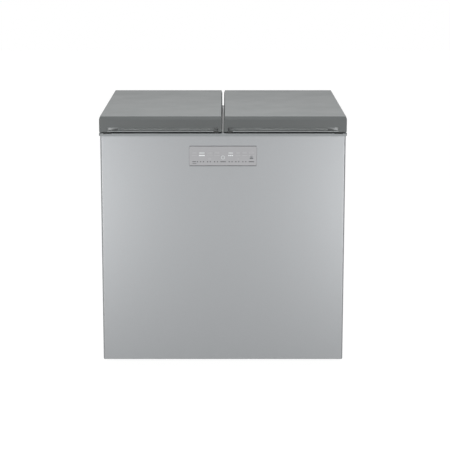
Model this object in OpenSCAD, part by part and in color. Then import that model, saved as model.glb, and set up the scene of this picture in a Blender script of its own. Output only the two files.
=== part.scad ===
// Two-lid chest kimchi refrigerator.
// Millimetres, +Z up, the front faces -Y. The origin is under the middle of the whole
// object, on the floor. The cabinet grows outwards from the storage boxes: wells, foam,
// panels, deck, lids.

/* [Storage boxes] */
// Width of a storage box over its latches
box_w = 245; // [225:1:260]
// Depth of a storage box over its lid
box_d = 232.5; // [215:0.5:250]
// Height of a storage box with its lid
box_h = 178; // [165:1:190]
// Play round each box in its well
box_gap = 5; // [4:0.5:8]
// Wall thickness of a storage box
box_t = 3; // [2.5:0.5:4]
// Outer corner radius of a storage box
box_r = 18; // [14:1:24]
// Height of the skirt round a box lid
box_skirt = 14; // [10:1:18]
// Thickness of a box latch
latch_t = 3; // [2:0.5:4]
// Width of a box latch
latch_w = 64; // [40:1:90]

/* [Insulation] */
// Side wall, from panel face to liner face
side_wall = 48.5; // [44:0.5:60]
// Wall between the two wells, from liner face to liner face
mid_wall = 52; // [48:1:64]
// Front wall, from panel face to liner face
front_wall = 48; // [42:1:60]
// Rear wall, from panel face to liner face
rear_wall = 52; // [46:1:64]
// Foam under the well floor
floor_foam = 57.3; // [50:0.1:70]
// Foam between the wells and the front of the machine bay
bay_wall = 47; // [40:1:56]
// Foam between the wells and the roof of the machine bay
bay_roof = 46.5; // [40:0.5:52]
// Thickness of the well liners
liner_t = 1.5; // [1:0.1:2]
// Corner radius of the wells
well_r = 20; // [16:1:26]

/* [Panels] */
// Thickness of the steel panels
sheet_t = 1; // [0.6:0.1:1.4]
// Corner radius of the front panel, seen from above
panel_r = 6; // [4:0.5:9]
// Radius of the front panel's two lower corners
panel_foot_r = 3; // [2:0.5:6]
// Depth of the front panel's side returns
panel_return = 12; // [10:1:18]
// Seam between the front panel and a side panel
seam = 1; // [0.5:0.1:2]
// Thickness of the base plate
base_t = 1.2; // [1:0.1:2]
// Thickness of the rear grille
grille_t = 1.5; // [1.2:0.1:2.5]

/* [Deck] */
// Thickness of the top deck
deck_t = 7; // [6:0.5:10]
// Overhang of the deck at each side
deck_lap = 3; // [2.5:0.5:7]
// Overhang of the deck at the front
deck_nose = 0.5; // [0.2:0.1:1]
// Overhang of the deck at the rear
deck_tail = 3; // [1:0.5:4]
// Shadow gap between the deck and the panels
deck_seam = 0.5; // [0.3:0.1:1]

/* [Lids] */
// Height of a lid
lid_h = 42; // [38:1:50]
// Gap between the deck and the lids
lid_gap = 4; // [3.6:0.1:5]
// Gap between the two lids
lid_split = 5.5; // [4:0.5:8]
// Overhang of the lids at each side
lid_lap = 2; // [1.5:0.5:6]
// Overhang of the lids at the front
lid_nose = 2; // [1:0.5:4]
// Overhang of the lids at the rear
lid_tail = 8; // [6:0.5:9]
// Corner radius of a lid, seen from above
lid_r = 3.5; // [3:0.5:8]
// Thickness of the lid cover
cover_t = 2; // [1.5:0.1:2.5]
// Inward reach of the bevel round a lid's top
bevel_in = 2.5; // [1.5:0.5:5]
// Height of the bevel round a lid's top
bevel_h = 8; // [4:0.5:12]
// Thickness of the lid pan
pan_t = 2; // [1.5:0.1:2.5]
// Reach of the lid pan's plug below the deck's top
plug_h = 15; // [10:1:20]
// Gap between the plug and the well's walls
plug_gap = 10; // [8:1:14]
// Space between the top boxes and the plug
head_room = 20; // [12:1:30]
// Width of the gasket's base
gasket_w = 14; // [10:1:16]

/* [Handle pockets] */
// Height of the pocket's ceiling above the lid's lower edge
grip_h = 13; // [11:0.5:18]
// Thickness of the lip under the pocket
grip_lip = 2.5; // [2:0.1:4]
// Depth of the pocket
grip_depth = 18; // [14:1:24]
// Wall round the pocket
grip_wall = 2; // [1.5:0.1:3]
// Distance of the pocket from the lid's inner side
grip_in = 8.5; // [7:0.5:14]
// Distance of the pocket from the lid's outer side
grip_out = 21; // [14:0.5:30]
// Length of the ramp at the pocket's outer end
ramp_l = 27; // [18:1:40]
// Depth of the step that the ramp ends in
ramp_step = 3.5; // [2.5:0.5:6]

/* [Lid hinges] */
// Radius of the hinge pins
pin_r = 3; // [2.5:0.1:3.4]
// Distance of the hinge axis behind the back panel
hinge_back = 14; // [13:0.5:16]
// Height of the hinge axis above the deck's underside
hinge_rise = 3; // [2:0.5:4]
// Distance between the two hinges of a lid
hinge_pitch = 190; // [150:1:200]
// Thickness of the hinge leaves
leaf_t = 2.5; // [2:0.1:2.6]
// Depth of the hinge covers behind the back panel
hinge_cover_d = 28; // [26:0.5:34]

/* [Control panel] */
// Width of the control panel's window
lens_w = 181; // [150:1:220]
// Height of the control panel's window
lens_h = 52; // [40:1:60]
// Corner radius of the window
lens_r = 4.5; // [3:0.5:8]
// Distance of the window below the deck's underside
lens_drop = 28; // [20:1:60]
// How far the window stands out of the front panel
lens_proud = 0.8; // [0.4:0.1:1.4]

/* [Stand] */
// Radius of the rear rollers
roller_r = 11; // [9:0.5:13]
// Width of a roller
roller_w = 22; // [16:1:28]
// Radius of the roller axles
axle_r = 3; // [2.5:0.1:4]
// Radius of a levelling foot's pad
foot_r = 20; // [16:1:24]
// Radius of a levelling foot's stud
stud_r = 4; // [3:0.5:5]
// Distance of the feet and rollers from the cabinet's sides
foot_side = 70; // [55:1:90]
// Distance of the feet from the front panel's face
foot_back = 110; // [90:1:130]
// Distance of the rollers from the back panel's face
roller_back = 45; // [38:1:60]

/* [Cooling] */
// Outer radius of the refrigerant tubes
tube_r = 4; // [3:0.5:4.5]
// Height step between the evaporator's turns
evaporator_pitch = 70; // [64:1:80]
// Radius of the compressor's shell
compressor_r = 62; // [55:1:66]
// Height of the compressor's shell
compressor_h = 132; // [115:1:138]
// Radius of the fan's blades
fan_r = 65; // [55:1:68]

/* [Hidden] */

$fn = 48;

// Clearances
fit = 0.3;          // between pieces that only lie beside each other
press = 0.02;       // round a pin that is held fast
running = 0.06;     // round a pin that turns or slides
cut = 1;            // how far a cutting shape runs past the face that it opens

// The wells and the boxes in them: column 0 is at the front and column 1 on the rear step
layers = 3;
left_boxes = [[0, 0], [0, 1], [0, 2], [1, 1], [1, 2]];
right_boxes = [[0, 0], [0, 1], [1, 1]];
box_lid_t = 3;
box_skirt_t = 2.5;
skirt_half = [box_w / 2 - latch_t, box_d / 2];
ledge_in = 0.5;
body_half = skirt_half - [box_skirt_t + fit, box_skirt_t + fit];
ledge_half = skirt_half - [ledge_in, ledge_in];
ledge_z = box_h - box_skirt - fit;
ledge_t = 3;
well_w = box_w + 2 * box_gap;
well_d = 2 * box_d + 3 * box_gap;
well_in = mid_wall / 2;
well_out = well_in + well_w;
well_mid = (well_in + well_out) / 2;

// The cabinet
cabinet_w = 2 * (well_out + side_wall);
cabinet_d = front_wall + well_d + rear_wall;
overall_d = lid_nose + cabinet_d + hinge_cover_d;
side_x = cabinet_w / 2;
front_y = lid_nose - overall_d / 2;
back_y = front_y + cabinet_d;
well_front = front_y + front_wall;
well_back = well_front + well_d;
step_y = well_front + box_d + 1.5 * box_gap;
bracket_t = 1.5;
roller_gap = 1.5;
ground_gap = 2 * roller_r + roller_gap + bracket_t;
base_top = ground_gap + base_t;
well_floor = base_top + floor_foam + liner_t;
step_z = well_floor + box_h;
deck_top = well_floor + layers * box_h + head_room + plug_h;
deck_z = deck_top - deck_t;
panel_top = deck_z - deck_seam;
liner_flange = 10;
tongue_x = side_x - 2 * sheet_t - press;
tongue_y = front_y + panel_r;

// The machine bay
bay_t = base_t;
bay_front = step_y + bay_wall;
bay_top = step_z - liner_t - bay_roof;
bay_mid_y = (bay_front + back_y) / 2;
bay_flange = 16;
flange_y = back_y - grille_t - base_t;

// The lids
lid_z = deck_top + lid_gap;
lid_top = lid_z + lid_h;
lid_in = lid_split / 2;
lid_out = side_x + lid_lap;
lid_front = front_y - lid_nose;
lid_back = back_y + lid_tail;
lid_mid = (lid_in + lid_out) / 2;
pan_rise = 3;
pan_z = lid_z + pan_rise;
pan_top = pan_z + pan_t;
grip_back = lid_front + grip_depth + grip_wall;
grip_top = lid_z + grip_h + grip_wall;
notch_in = lid_in + grip_in;
notch_out = lid_out - grip_out;
gasket_in = 2;

// The hinges: the axis runs along X
hinge_y = back_y + hinge_back;
hinge_z = deck_z + hinge_rise;
hinges = [lid_mid - hinge_pitch / 2, lid_mid + hinge_pitch / 2];
knuckle_r = pin_r + 2;
ear_t = 6;
ear_r = knuckle_r + 0.5;
knuckle_from = -14;
knuckle_to = 28;
hinge_half = knuckle_to + fit + ear_t;
spring_turns = 4;
spring_wire = 0.9;
leaf_z = deck_top + 0.9;
leaf_w = 66;
hinge_plate_t = 2.5;
hinge_plate_h = 55;
hinge_plate_top = hinge_z - knuckle_r;
hinge_cover_t = 2;

// The stand
stand_x = side_x - foot_side;
foot_y = front_y + foot_back;
foot_pad_h = 7;
nut_h = 12;
nut_r = stud_r + 4.5;
nut_play = 3;
foot_travel = 12;
stud_top = base_top + nut_h + foot_travel + 10;
roller_y = back_y - roller_back;
roller_play = 0.5;

// The control panel
lens_top = deck_z - lens_drop;
lens_z = lens_top - lens_h;
lens_t = 3;
housing_rim = 4;
housing_d = 20;
housing_t = 2;
board_t = 1.6;
board_depth = 9;
board_y = front_y + sheet_t + board_depth;
board_ledge = 3;

// The evaporator's path round a well
evaporator_turns = 4;
evaporator_rise = 47;
evaporator_short = 45;
inlet_lead = 25;
riser_l = 10;
bend_r = well_r + liner_t + fit + tube_r;
evaporator_in = well_in - liner_t - fit - tube_r;
evaporator_out = well_out + liner_t + fit + tube_r;
evaporator_front = well_front - liner_t - fit - tube_r;
evaporator_end = well_back - evaporator_short;
inlet_y = evaporator_end + inlet_lead;
evaporator_z = step_z + evaporator_rise;
riser_z = bay_top - riser_l;

// The compressor, condenser and fan, from left to right in the bay
compressor_side = 125;
compressor_x = compressor_side - side_x;
compressor_y = bay_mid_y;
compressor_seam = 0.45;
leg_rise = 16;
leg_z = base_top + leg_rise;
leg_t = 3;
leg_rim = 14;
bolt_r = 3;
grommet_r = 12;
grommet_neck = 8;
grommet_cap = 5;
leg_x = 72;
leg_y = 48;
shell_z = leg_z + leg_t;
shell_edge = 28;
port_reach = 12;
port_rise = 78;
port_x = compressor_x + compressor_r + port_reach;
port_z = shell_z + port_rise;
discharge_step = 24;
suction_port = [port_x, evaporator_end, port_z];
discharge_port = [port_x, compressor_y - discharge_step, port_z];
line_bend = 10;
fan_x = 40;
fan_frame_t = 24;
fan_rim = 10;
fan_tip = 3;
fan_web = 3;
fan_frame_w = 2 * (fan_r + fan_rim);
fan_z = base_top + fan_frame_w / 2;
motor_r = 18;
motor_l = 26;
motor_nose = 5;
motor_to = fan_x + motor_nose;
motor_from = motor_to - motor_l;
shaft_r = 2.5;
fin_from = 92;
coil_over = 14;
coil_play = 5.5;
control_side = 12;
control_w = 82;
control_to = side_x - control_side;
control_from = control_to - control_w;
fin_to = control_from - coil_play - tube_r - coil_over;
fin_count = 13;
fin_t = 0.8;
fin_w = 160;
fin_drop = 30;
fin_h = bay_top - base_top - fin_drop;
coil_rows = 4;
coil_gap = 12;
coil_x = fan_x + fan_frame_t + coil_gap;
coil_ys = [bay_mid_y - fin_w / 4, bay_mid_y + fin_w / 4];
coil_rise = 22;
coil_z = base_top + coil_rise;
coil_lead = 20;
coil_pitch = (fin_h - 2 * coil_rise) / (coil_rows - 1);
front_pass = 20;
front_pass_y = bay_front + front_pass;
rear_pass = 24;
rear_pass_y = back_y - rear_pass;
drier_r = 10;
drier_h = 70;
drier_rise = 50;
drier_z = base_top + drier_rise;
header_drop = 26;
header_z = bay_top - header_drop;
drop_reach = 40;
turn_reach = 25;
control_d = 150;
control_h = 130;
control_t = 2;
control_boss = 5;

// The thermistor pods
sensor_w = 34;
sensor_h = 60;
sensor_d = 12;
sensor_drop = 60;
sensor_z = step_z + 2 * box_h - sensor_drop;
sensor_proud = 2.5;
sensor_rim = 4;

// The rear grille: slots in rows and columns, with the gland in place of one slot
grille_rows = 9;
grille_columns = 6;
grille_row_pitch = 16;
grille_column_pitch = 88;
grille_slot_l = 72;
grille_slot_w = 6;
grille_z = (base_top + bay_top) / 2;
gland_column = grille_columns - 1;
gland_x = (gland_column - (grille_columns - 1) / 2) * grille_column_pitch;
gland_z = grille_z - (grille_rows - 1) / 2 * grille_row_pitch;
gland_r = 9;
gland_rim = 4;
gland_bore = 4;
gland_tip = 2;
gland_flange = 3;
gland_in = 8;
gland_nose = 16;

// Screws on the back: x, z and the face under the head
screw_r = 2;
screw_l = 10;
screw_head_r = 4;
screw_head_t = 2;
screw_inset = 30;
screw_low = 25;
screw_drop = 90;
screw_dx = 20;
screw_dz = [12, 40];
screw_side = side_x - screw_inset;
screws = concat(
    [for (x = [-screw_side, screw_side],
          z = [bay_top + screw_low, (bay_top + panel_top) / 2, panel_top - screw_drop])
        [x, z, back_y]],
    [for (x = [-screw_side, 0, screw_side], z = [base_top + bay_flange / 2, bay_top - bay_flange / 2])
        [x, z, back_y]],
    [for (side = [-1, 1], h = hinges, dx = [-screw_dx, screw_dx], dz = screw_dz)
        [side * h + dx, hinge_plate_top - dz, back_y + hinge_plate_t]]
);

// ---------------------------------------------------------------- shapes in common

// Block from its lowest corner to its highest
module block(low, high) {
    translate(low) cube(high - low);
}

// Rectangle from corner to corner with round corners
module round_rect(low, high, r) {
    size = high - low;
    translate([low.x + r, low.y]) square([size.x - 2 * r, size.y]);
    translate([low.x, low.y + r]) square([size.x, size.y - 2 * r]);
    for (x = [low.x + r, high.x - r], y = [low.y + r, high.y - r])
        translate([x, y]) circle(r);
}

// Upright slab with round corners, from low_z to high_z
module slab(low, high, r, low_z, high_z) {
    translate([0, 0, low_z]) linear_extrude(high_z - low_z) round_rect(low, high, r);
}

// Extrudes an outline drawn in X and Z from y0 to y1
module along_y(y0, y1) {
    translate([0, y1, 0]) rotate([90, 0, 0]) linear_extrude(y1 - y0) children();
}

// Extrudes an outline drawn in Y and Z from x0 to x1
module along_x(x0, x1) {
    translate([x0, 0, 0]) rotate([90, 0, 90]) linear_extrude(x1 - x0) children();
}

// Cylinder along X through y, z
module rod_x(y, z, r, x0, x1) {
    translate([x0, y, z]) rotate([0, 90, 0]) cylinder(r = r, h = x1 - x0);
}

// Cylinder along Y through x, z
module rod_y(x, z, r, y0, y1) {
    translate([x, y0, z]) rotate([-90, 0, 0]) cylinder(r = r, h = y1 - y0);
}

// Upright cylinder at x, y
module rod_z(x, y, r, z0, z1) {
    translate([x, y, z0]) cylinder(r = r, h = z1 - z0);
}

module both_sides() {
    children();
    mirror([1, 0, 0]) children();
}

module left_side() {
    mirror([1, 0, 0]) children();
}

function unit(v) = v / norm(v);
function across(v) = abs(v.z) > 0.5 ? [1, 0, 0] : [0, 0, 1];
function frame(x, y, z, at) = [
    [x.x, y.x, z.x, at.x],
    [x.y, y.y, z.y, at.y],
    [x.z, y.z, z.z, at.z]
];

// Tube ends lie on a 0.01 mm grid, so that straights and bends meet face to face
function on_grid(v) = [for (c = v) round(100 * c) / 100];

// Straight tube from a to b
module tube(from, to, r) {
    a = on_grid(from);
    b = on_grid(to);
    d = unit(b - a);
    e = across(d);
    multmatrix(frame(e, cross(d, e), d, a)) cylinder(r = r, h = norm(b - a));
}

// Tube along points that lie square to each other, with a round bend at each corner
module pipe(path, r, bend_radius) {
    points = [for (p = path) on_grid(p)];
    bend = round(100 * bend_radius) / 100;
    last = len(points) - 1;
    for (i = [0 : last - 1]) {
        d = unit(points[i + 1] - points[i]);
        a = points[i] + (i == 0 ? 0 : bend) * d;
        b = points[i + 1] - (i == last - 1 ? 0 : bend) * d;
        tube(a, b, r);
    }
    for (i = [1 : last - 1]) {
        u = unit(points[i] - points[i - 1]);
        v = unit(points[i + 1] - points[i]);
        multmatrix(frame(-v, u, cross(u, v), points[i] + bend * (v - u)))
            rotate_extrude(angle = 90) translate([bend, 0]) circle(r);
    }
}

// Slot with round ends, centred, in the plane of an outline
module slot_outline(length, width) {
    square([length - width, width], center = true);
    for (s = [-1, 1])
        translate([s * (length - width) / 2, 0]) circle(width / 2);
}

// ---------------------------------------------------------------- cabinet

// Plan of the cabinet, drawn in from its faces
module cabinet_plan(inset) {
    half = side_x - inset;
    round_rect([-half, front_y + inset], [half, back_y - inset], panel_r);
    translate([-half, back_y - inset - 2 * panel_r]) square([2 * half, 2 * panel_r]);
}

// Well grown by a wall on every side, with its rear step, up to top_z
module well_shape(wall, r, top_z) {
    low = [well_in - wall, well_front - wall];
    slab(low, [well_out + wall, well_back + wall], r, step_z - wall, top_z);
    slab(low, [well_out + wall, step_y + wall], r, well_floor - wall, step_z - wall);
}

module screw_holes() {
    for (s = screws)
        rod_y(s[0], s[1], screw_r + press, s[2] - screw_l - fit, s[2] + cut);
}

module front_panel() {
    depth = 4 * panel_return;
    color("silver") difference() {
        intersection() {
            translate([0, 0, ground_gap]) linear_extrude(panel_top - ground_gap)
                difference() {
                    intersection() {
                        round_rect([-side_x, front_y], [side_x, front_y + depth], panel_r);
                        translate([-side_x, front_y]) square([cabinet_w, panel_return]);
                    }
                    round_rect([sheet_t - side_x, front_y + sheet_t],
                               [side_x - sheet_t, front_y + depth], panel_r - sheet_t);
                }
            along_y(front_y - cut, front_y + panel_return + cut)
                round_rect([-side_x, ground_gap], [side_x, panel_top + depth], panel_foot_r);
        }
        along_y(front_y - cut, front_y + sheet_t + cut)
            round_rect([-lens_w / 2 - fit, lens_z - fit],
                       [lens_w / 2 + fit, lens_top + fit], lens_r + fit);
    }
}

module side_panel() {
    plate_y = front_y + panel_return + seam;
    block([side_x - sheet_t, plate_y, ground_gap], [side_x, back_y, panel_top]);
    block([tongue_x, plate_y, base_top], [side_x, plate_y + sheet_t, panel_top]);
    block([tongue_x, tongue_y, base_top], [tongue_x + sheet_t, plate_y + sheet_t, panel_top]);
}

module side_panel_left() {
    color("silver") left_side() side_panel();
}

module side_panel_right() {
    color("silver") side_panel();
}

module back_panel() {
    color("gainsboro") difference() {
        block([sheet_t - side_x, back_y - sheet_t, bay_top], [side_x - sheet_t, back_y, panel_top]);
        screw_holes();
    }
}

module base_plate() {
    half = side_x - sheet_t;
    color("darkgray") difference() {
        union() {
            translate([0, 0, ground_gap]) linear_extrude(base_t) cabinet_plan(sheet_t);
            block([-half, flange_y, ground_gap], [half, flange_y + base_t, base_top + bay_flange]);
        }
        for (side = [-1, 1])
            rod_z(side * stand_x, foot_y, stud_r + fit, ground_gap - cut, base_top + cut);
        for (x = [-leg_x, leg_x], y = [-leg_y, leg_y])
            rod_z(compressor_x + x, compressor_y + y, bolt_r + press, ground_gap - cut, base_top + cut);
        screw_holes();
    }
}

// Grooves in the foam for the evaporator round the right-hand well
module evaporator_grooves() {
    r = tube_r + fit;
    rear = inlet_y + r;
    low = [evaporator_in - r, evaporator_front - r];
    for (k = [0 : evaporator_turns - 1]) {
        z = evaporator_z + k * evaporator_pitch;
        slab(low, [evaporator_out + r, rear], well_r, z - r, z + r);
    }
    for (k = [0 : evaporator_turns - 2]) {
        x = k % 2 == 0 ? evaporator_out : evaporator_in;
        z = evaporator_z + k * evaporator_pitch;
        block([x - r, evaporator_end - bend_r, z], [x + r, evaporator_end + r, z + evaporator_pitch]);
    }
    top = evaporator_z + (evaporator_turns - 1) * evaporator_pitch;
    for (riser = [[evaporator_end, evaporator_z], [inlet_y, top]]) {
        y = riser[0];
        z = riser[1];
        block([evaporator_in - r, y - bend_r, z - bend_r], [evaporator_in + r, y + r, z]);
        block([evaporator_in - r, y - r, bay_top - cut], [evaporator_in + r, y + r, z]);
    }
}

module foam_body() {
    ease = 3;
    difference() {
        translate([0, 0, base_top]) linear_extrude(deck_z - base_top) cabinet_plan(sheet_t);
        both_sides() {
            well_shape(liner_t, well_r + liner_t - ease, deck_z + cut);
            slab([well_in - liner_flange, well_front - liner_flange],
                 [well_out + liner_flange, well_back + liner_flange],
                 well_r, deck_z - liner_t, deck_z + cut);
            evaporator_grooves();
            block([tongue_x, tongue_y, base_top - cut],
                  [side_x, front_y + panel_return + seam + sheet_t, deck_z + cut]);
            rod_z(stand_x, foot_y, nut_r + nut_play, base_top - cut, stud_top + nut_play);
            block([well_mid - sensor_w / 2, well_back, sensor_z - sensor_h / 2],
                  [well_mid + sensor_w / 2, well_back + liner_t + sensor_d, sensor_z + sensor_h / 2]);
        }
        block([-side_x, bay_front, base_top - cut], [side_x, back_y, bay_top]);
        along_y(front_y, front_y + sheet_t + housing_d) housing_outline(lens_r);
        screw_holes();
    }
}

module cabinet_foam_left() {
    color("khaki") difference() {
        foam_body();
        block([0, front_y, 0], [side_x, back_y, deck_z + cut]);
    }
}

module cabinet_foam_right() {
    color("khaki") difference() {
        foam_body();
        block([-side_x, front_y, 0], [0, back_y, deck_z + cut]);
    }
}

// Liner of the right-hand well
module well_liner() {
    difference() {
        union() {
            well_shape(liner_t, well_r + liner_t, deck_z);
            slab([well_in - liner_flange, well_front - liner_flange],
                 [well_out + liner_flange, well_back + liner_flange],
                 well_r + liner_flange, deck_z - liner_t, deck_z);
        }
        well_shape(0, well_r, deck_z + cut);
        block([well_mid - sensor_w / 2, well_back - cut, sensor_z - sensor_h / 2],
              [well_mid + sensor_w / 2, well_back + liner_t + cut, sensor_z + sensor_h / 2]);
    }
}

module well_liner_left() {
    color("whitesmoke") left_side() well_liner();
}

module well_liner_right() {
    color("whitesmoke") well_liner();
}

module top_deck() {
    color("gray") translate([0, 0, deck_z]) linear_extrude(deck_t) difference() {
        round_rect([-side_x - deck_lap, front_y - deck_nose],
                   [side_x + deck_lap, back_y + deck_tail], panel_r);
        both_sides()
            round_rect([well_in, well_front], [well_out, well_back], well_r);
    }
}

// Thermistor pods on the rear wall of each well
module well_sensors() {
    color("white") both_sides() {
        block([well_mid - sensor_w / 2 + fit, well_back - sensor_proud, sensor_z - sensor_h / 2 + fit],
              [well_mid + sensor_w / 2 - fit, well_back + liner_t + sensor_d,
               sensor_z + sensor_h / 2 - fit]);
        along_y(well_back - sensor_proud, well_back)
            round_rect([well_mid - sensor_w / 2 - sensor_rim, sensor_z - sensor_h / 2 - sensor_rim],
                       [well_mid + sensor_w / 2 + sensor_rim, sensor_z + sensor_h / 2 + sensor_rim],
                       sensor_rim);
    }
}

// ---------------------------------------------------------------- machine bay

module bay_liner() {
    half = side_x - sheet_t;
    color("lightgray") difference() {
        union() {
            block([-half, bay_front, base_top], [half, bay_front + bay_t, bay_top]);
            block([-half, bay_front, bay_top - bay_t], [half, flange_y + base_t, bay_top]);
            block([-half, flange_y, bay_top - bay_flange], [half, flange_y + base_t, bay_top]);
        }
        for (x = [-evaporator_in, evaporator_in], y = [evaporator_end, inlet_y])
            rod_z(x, y, tube_r + fit, bay_top - bay_t - cut, bay_top + cut);
        screw_holes();
    }
}

module rear_grille() {
    half = side_x - sheet_t - press;
    color("dimgray") difference() {
        along_y(back_y - grille_t, back_y) difference() {
            translate([-half, base_top]) square([2 * half, bay_top - base_top - press]);
            for (i = [0 : grille_columns - 1], j = [0 : grille_rows - 1])
                if (j > 0 || i != gland_column)
                    translate([(i - (grille_columns - 1) / 2) * grille_column_pitch,
                               grille_z + (j - (grille_rows - 1) / 2) * grille_row_pitch])
                        slot_outline(grille_slot_l, grille_slot_w);
            translate([gland_x, gland_z]) circle(gland_r + press);
        }
        screw_holes();
    }
}

module case_screws() {
    color("silver") for (s = screws) {
        rod_y(s[0], s[1], screw_r, s[2] - screw_l, s[2] + screw_head_t);
        rod_y(s[0], s[1], screw_head_r, s[2], s[2] + screw_head_t);
    }
}

// Gland that the power lead leaves through, low at the rear
module cord_gland() {
    flange_end = back_y + gland_flange;
    color("black") difference() {
        union() {
            rod_y(gland_x, gland_z, gland_r + gland_rim, back_y, flange_end);
            rod_y(gland_x, gland_z, gland_r, back_y - gland_in, flange_end);
            translate([gland_x, flange_end, gland_z]) rotate([-90, 0, 0])
                cylinder(r1 = gland_r, r2 = gland_bore + gland_tip, h = gland_nose);
        }
        rod_y(gland_x, gland_z, gland_bore, back_y - gland_in - cut, flange_end + gland_nose + cut);
    }
}

// Path of the evaporator round the right-hand well
function evaporator_run(k) =
    let (
        z = evaporator_z + k * evaporator_pitch,
        rear = k == evaporator_turns - 1 ? inlet_y : evaporator_end,
        run = [[evaporator_in, rear, z], [evaporator_in, evaporator_front, z],
               [evaporator_out, evaporator_front, z], [evaporator_out, evaporator_end, z]]
    )
    k % 2 == 0 ? run : [for (i = [3 : -1 : 0]) run[i]];

evaporator_path = concat(
    [[evaporator_in, evaporator_end, riser_z]],
    [for (k = [0 : evaporator_turns - 1]) each evaporator_run(k)],
    [[evaporator_in, inlet_y, riser_z]]
);

module evaporators() {
    color("peru") both_sides() pipe(evaporator_path, tube_r, bend_r);
}

// Round can with rounded edges
module can(r, h, edge) {
    rotate_extrude() {
        square([r - edge, h]);
        translate([0, edge]) square([r, h - 2 * edge]);
        for (z = [edge, h - edge])
            translate([r - edge, z]) circle(edge);
    }
}

module compressor() {
    rim_z = shell_z + compressor_h * compressor_seam;
    rim = [leg_rim, leg_rim];
    middle = [compressor_x, compressor_y];
    color("#202224") difference() {
        union() {
            translate([compressor_x, compressor_y, shell_z]) can(compressor_r, compressor_h, shell_edge);
            rod_z(compressor_x, compressor_y, compressor_r + 3, rim_z, rim_z + 5);
            rod_z(compressor_x, compressor_y, compressor_r - shell_edge, leg_z, rim_z);
            slab(middle - [leg_x, leg_y] - rim, middle + [leg_x, leg_y] + rim, grommet_r, leg_z, shell_z);
            for (port = [suction_port, discharge_port])
                tube([compressor_x, port.y, port.z], port, tube_r + 1);
        }
        for (x = [-leg_x, leg_x], y = [-leg_y, leg_y])
            rod_z(compressor_x + x, compressor_y + y, grommet_neck + press, leg_z - cut, shell_z + cut);
    }
}

module compressor_grommets() {
    color("#2a2a2a") for (x = [-leg_x, leg_x], y = [-leg_y, leg_y])
        translate([compressor_x + x, compressor_y + y]) difference() {
            union() {
                rod_z(0, 0, grommet_r, base_top, leg_z);
                rod_z(0, 0, grommet_neck, base_top, shell_z + grommet_cap);
                rod_z(0, 0, grommet_r, shell_z, shell_z + grommet_cap);
            }
            rod_z(0, 0, bolt_r + fit, base_top - cut, shell_z + grommet_cap + cut);
        }
}

module compressor_bolts() {
    washer_z = shell_z + grommet_cap;
    head_z = washer_z + 2;
    color("silver") for (x = [-leg_x, leg_x], y = [-leg_y, leg_y])
        translate([compressor_x + x, compressor_y + y]) {
            rod_z(0, 0, bolt_r, ground_gap - 4, head_z + 4);
            rod_z(0, 0, grommet_neck, washer_z, head_z);
            translate([0, 0, head_z]) cylinder(r = bolt_r + 2.5, h = 4, $fn = 6);
        }
}

module relay_cover() {
    half = 30;
    face = compressor_y - compressor_r;
    rim_z = shell_z + compressor_h * compressor_seam;
    color("#303030") difference() {
        block([compressor_x - half, face - 20, shell_z + 25], [compressor_x + half, face + 24, rim_z - fit]);
        rod_z(compressor_x, compressor_y, compressor_r + fit, shell_z, shell_z + compressor_h);
    }
}

// Path of the condenser's tube: up one column of passes and down the other
function coil_passes(y, rows) = [
    for (k = rows) each
        let (z = coil_z + k * coil_pitch, near = [coil_x, y, z], far = [fin_to + coil_over, y, z])
        (y == coil_ys[0]) == (k % 2 == 0) ? [near, far] : [far, near]
];

condenser_inlet = [coil_x, coil_ys[0] - coil_lead, coil_z];
condenser_outlet = [coil_x, coil_ys[1] + coil_lead, coil_z];
condenser_path = concat(
    [condenser_inlet],
    coil_passes(coil_ys[0], [0 : coil_rows - 1]),
    coil_passes(coil_ys[1], [coil_rows - 1 : -1 : 0]),
    [condenser_outlet]
);

module condenser_tube() {
    color("peru") pipe(condenser_path, tube_r, line_bend);
}

module condenser_fins() {
    pitch = (fin_to - fin_from - fin_t) / (fin_count - 1);
    color("lightgray") for (i = [0 : fin_count - 1])
        along_x(fin_from + i * pitch, fin_from + i * pitch + fin_t) difference() {
            translate([bay_mid_y - fin_w / 2, base_top]) square([fin_w, fin_h]);
            for (y = coil_ys, k = [0 : coil_rows - 1])
                translate([y, coil_z + k * coil_pitch]) circle(tube_r + 0.1);
        }
}

module fan_frame() {
    half = fan_frame_w / 2;
    color("#3a3d40") difference() {
        union() {
            along_x(fan_x, fan_x + fan_frame_t) difference() {
                round_rect([bay_mid_y - half, fan_z - half], [bay_mid_y + half, fan_z + half], 8);
                translate([bay_mid_y, fan_z]) circle(fan_r + fan_tip);
            }
            along_x(fan_x, fan_x + fan_web) for (a = [0 : 60 : 150])
                translate([bay_mid_y, fan_z]) rotate(a)
                    square([2 * (fan_r + fan_tip) + 4, 5], center = true);
            rod_x(bay_mid_y, fan_z, motor_r + 3, fan_x, fan_x + fan_web);
        }
        rod_x(bay_mid_y, fan_z, motor_r + press, fan_x - cut, fan_x + fan_web + cut);
    }
}

module fan_motor() {
    color("#55585c") difference() {
        rod_x(bay_mid_y, fan_z, motor_r, motor_from, motor_to);
        rod_x(bay_mid_y, fan_z, shaft_r + running, motor_from + 4, motor_to + cut);
    }
}

// The rotor's blades stand at an angle to the airflow
module fan_rotor() {
    hub_l = 16;
    blade_r = fan_r - 3;
    hub_from = motor_to + 2;
    chord = 30;
    root = 8;
    color("#44484c") {
        rod_x(bay_mid_y, fan_z, 15, hub_from, hub_from + hub_l);
        rod_x(bay_mid_y, fan_z, shaft_r, motor_from + 5, hub_from + hub_l);
        for (i = [0 : 4])
            translate([hub_from + hub_l / 2, bay_mid_y, fan_z]) rotate([72 * i, 0, 0])
                rotate([0, 0, 32]) translate([-1, -chord / 2, root]) cube([2, chord, blade_r - root]);
    }
}

module filter_drier() {
    color("peru") translate([0, rear_pass_y, drier_z]) rotate_extrude()
        polygon([[0, 0], [tube_r, 0], [drier_r, 10], [drier_r, drier_h - 10], [tube_r, drier_h],
                 [0, drier_h]]);
}

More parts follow.
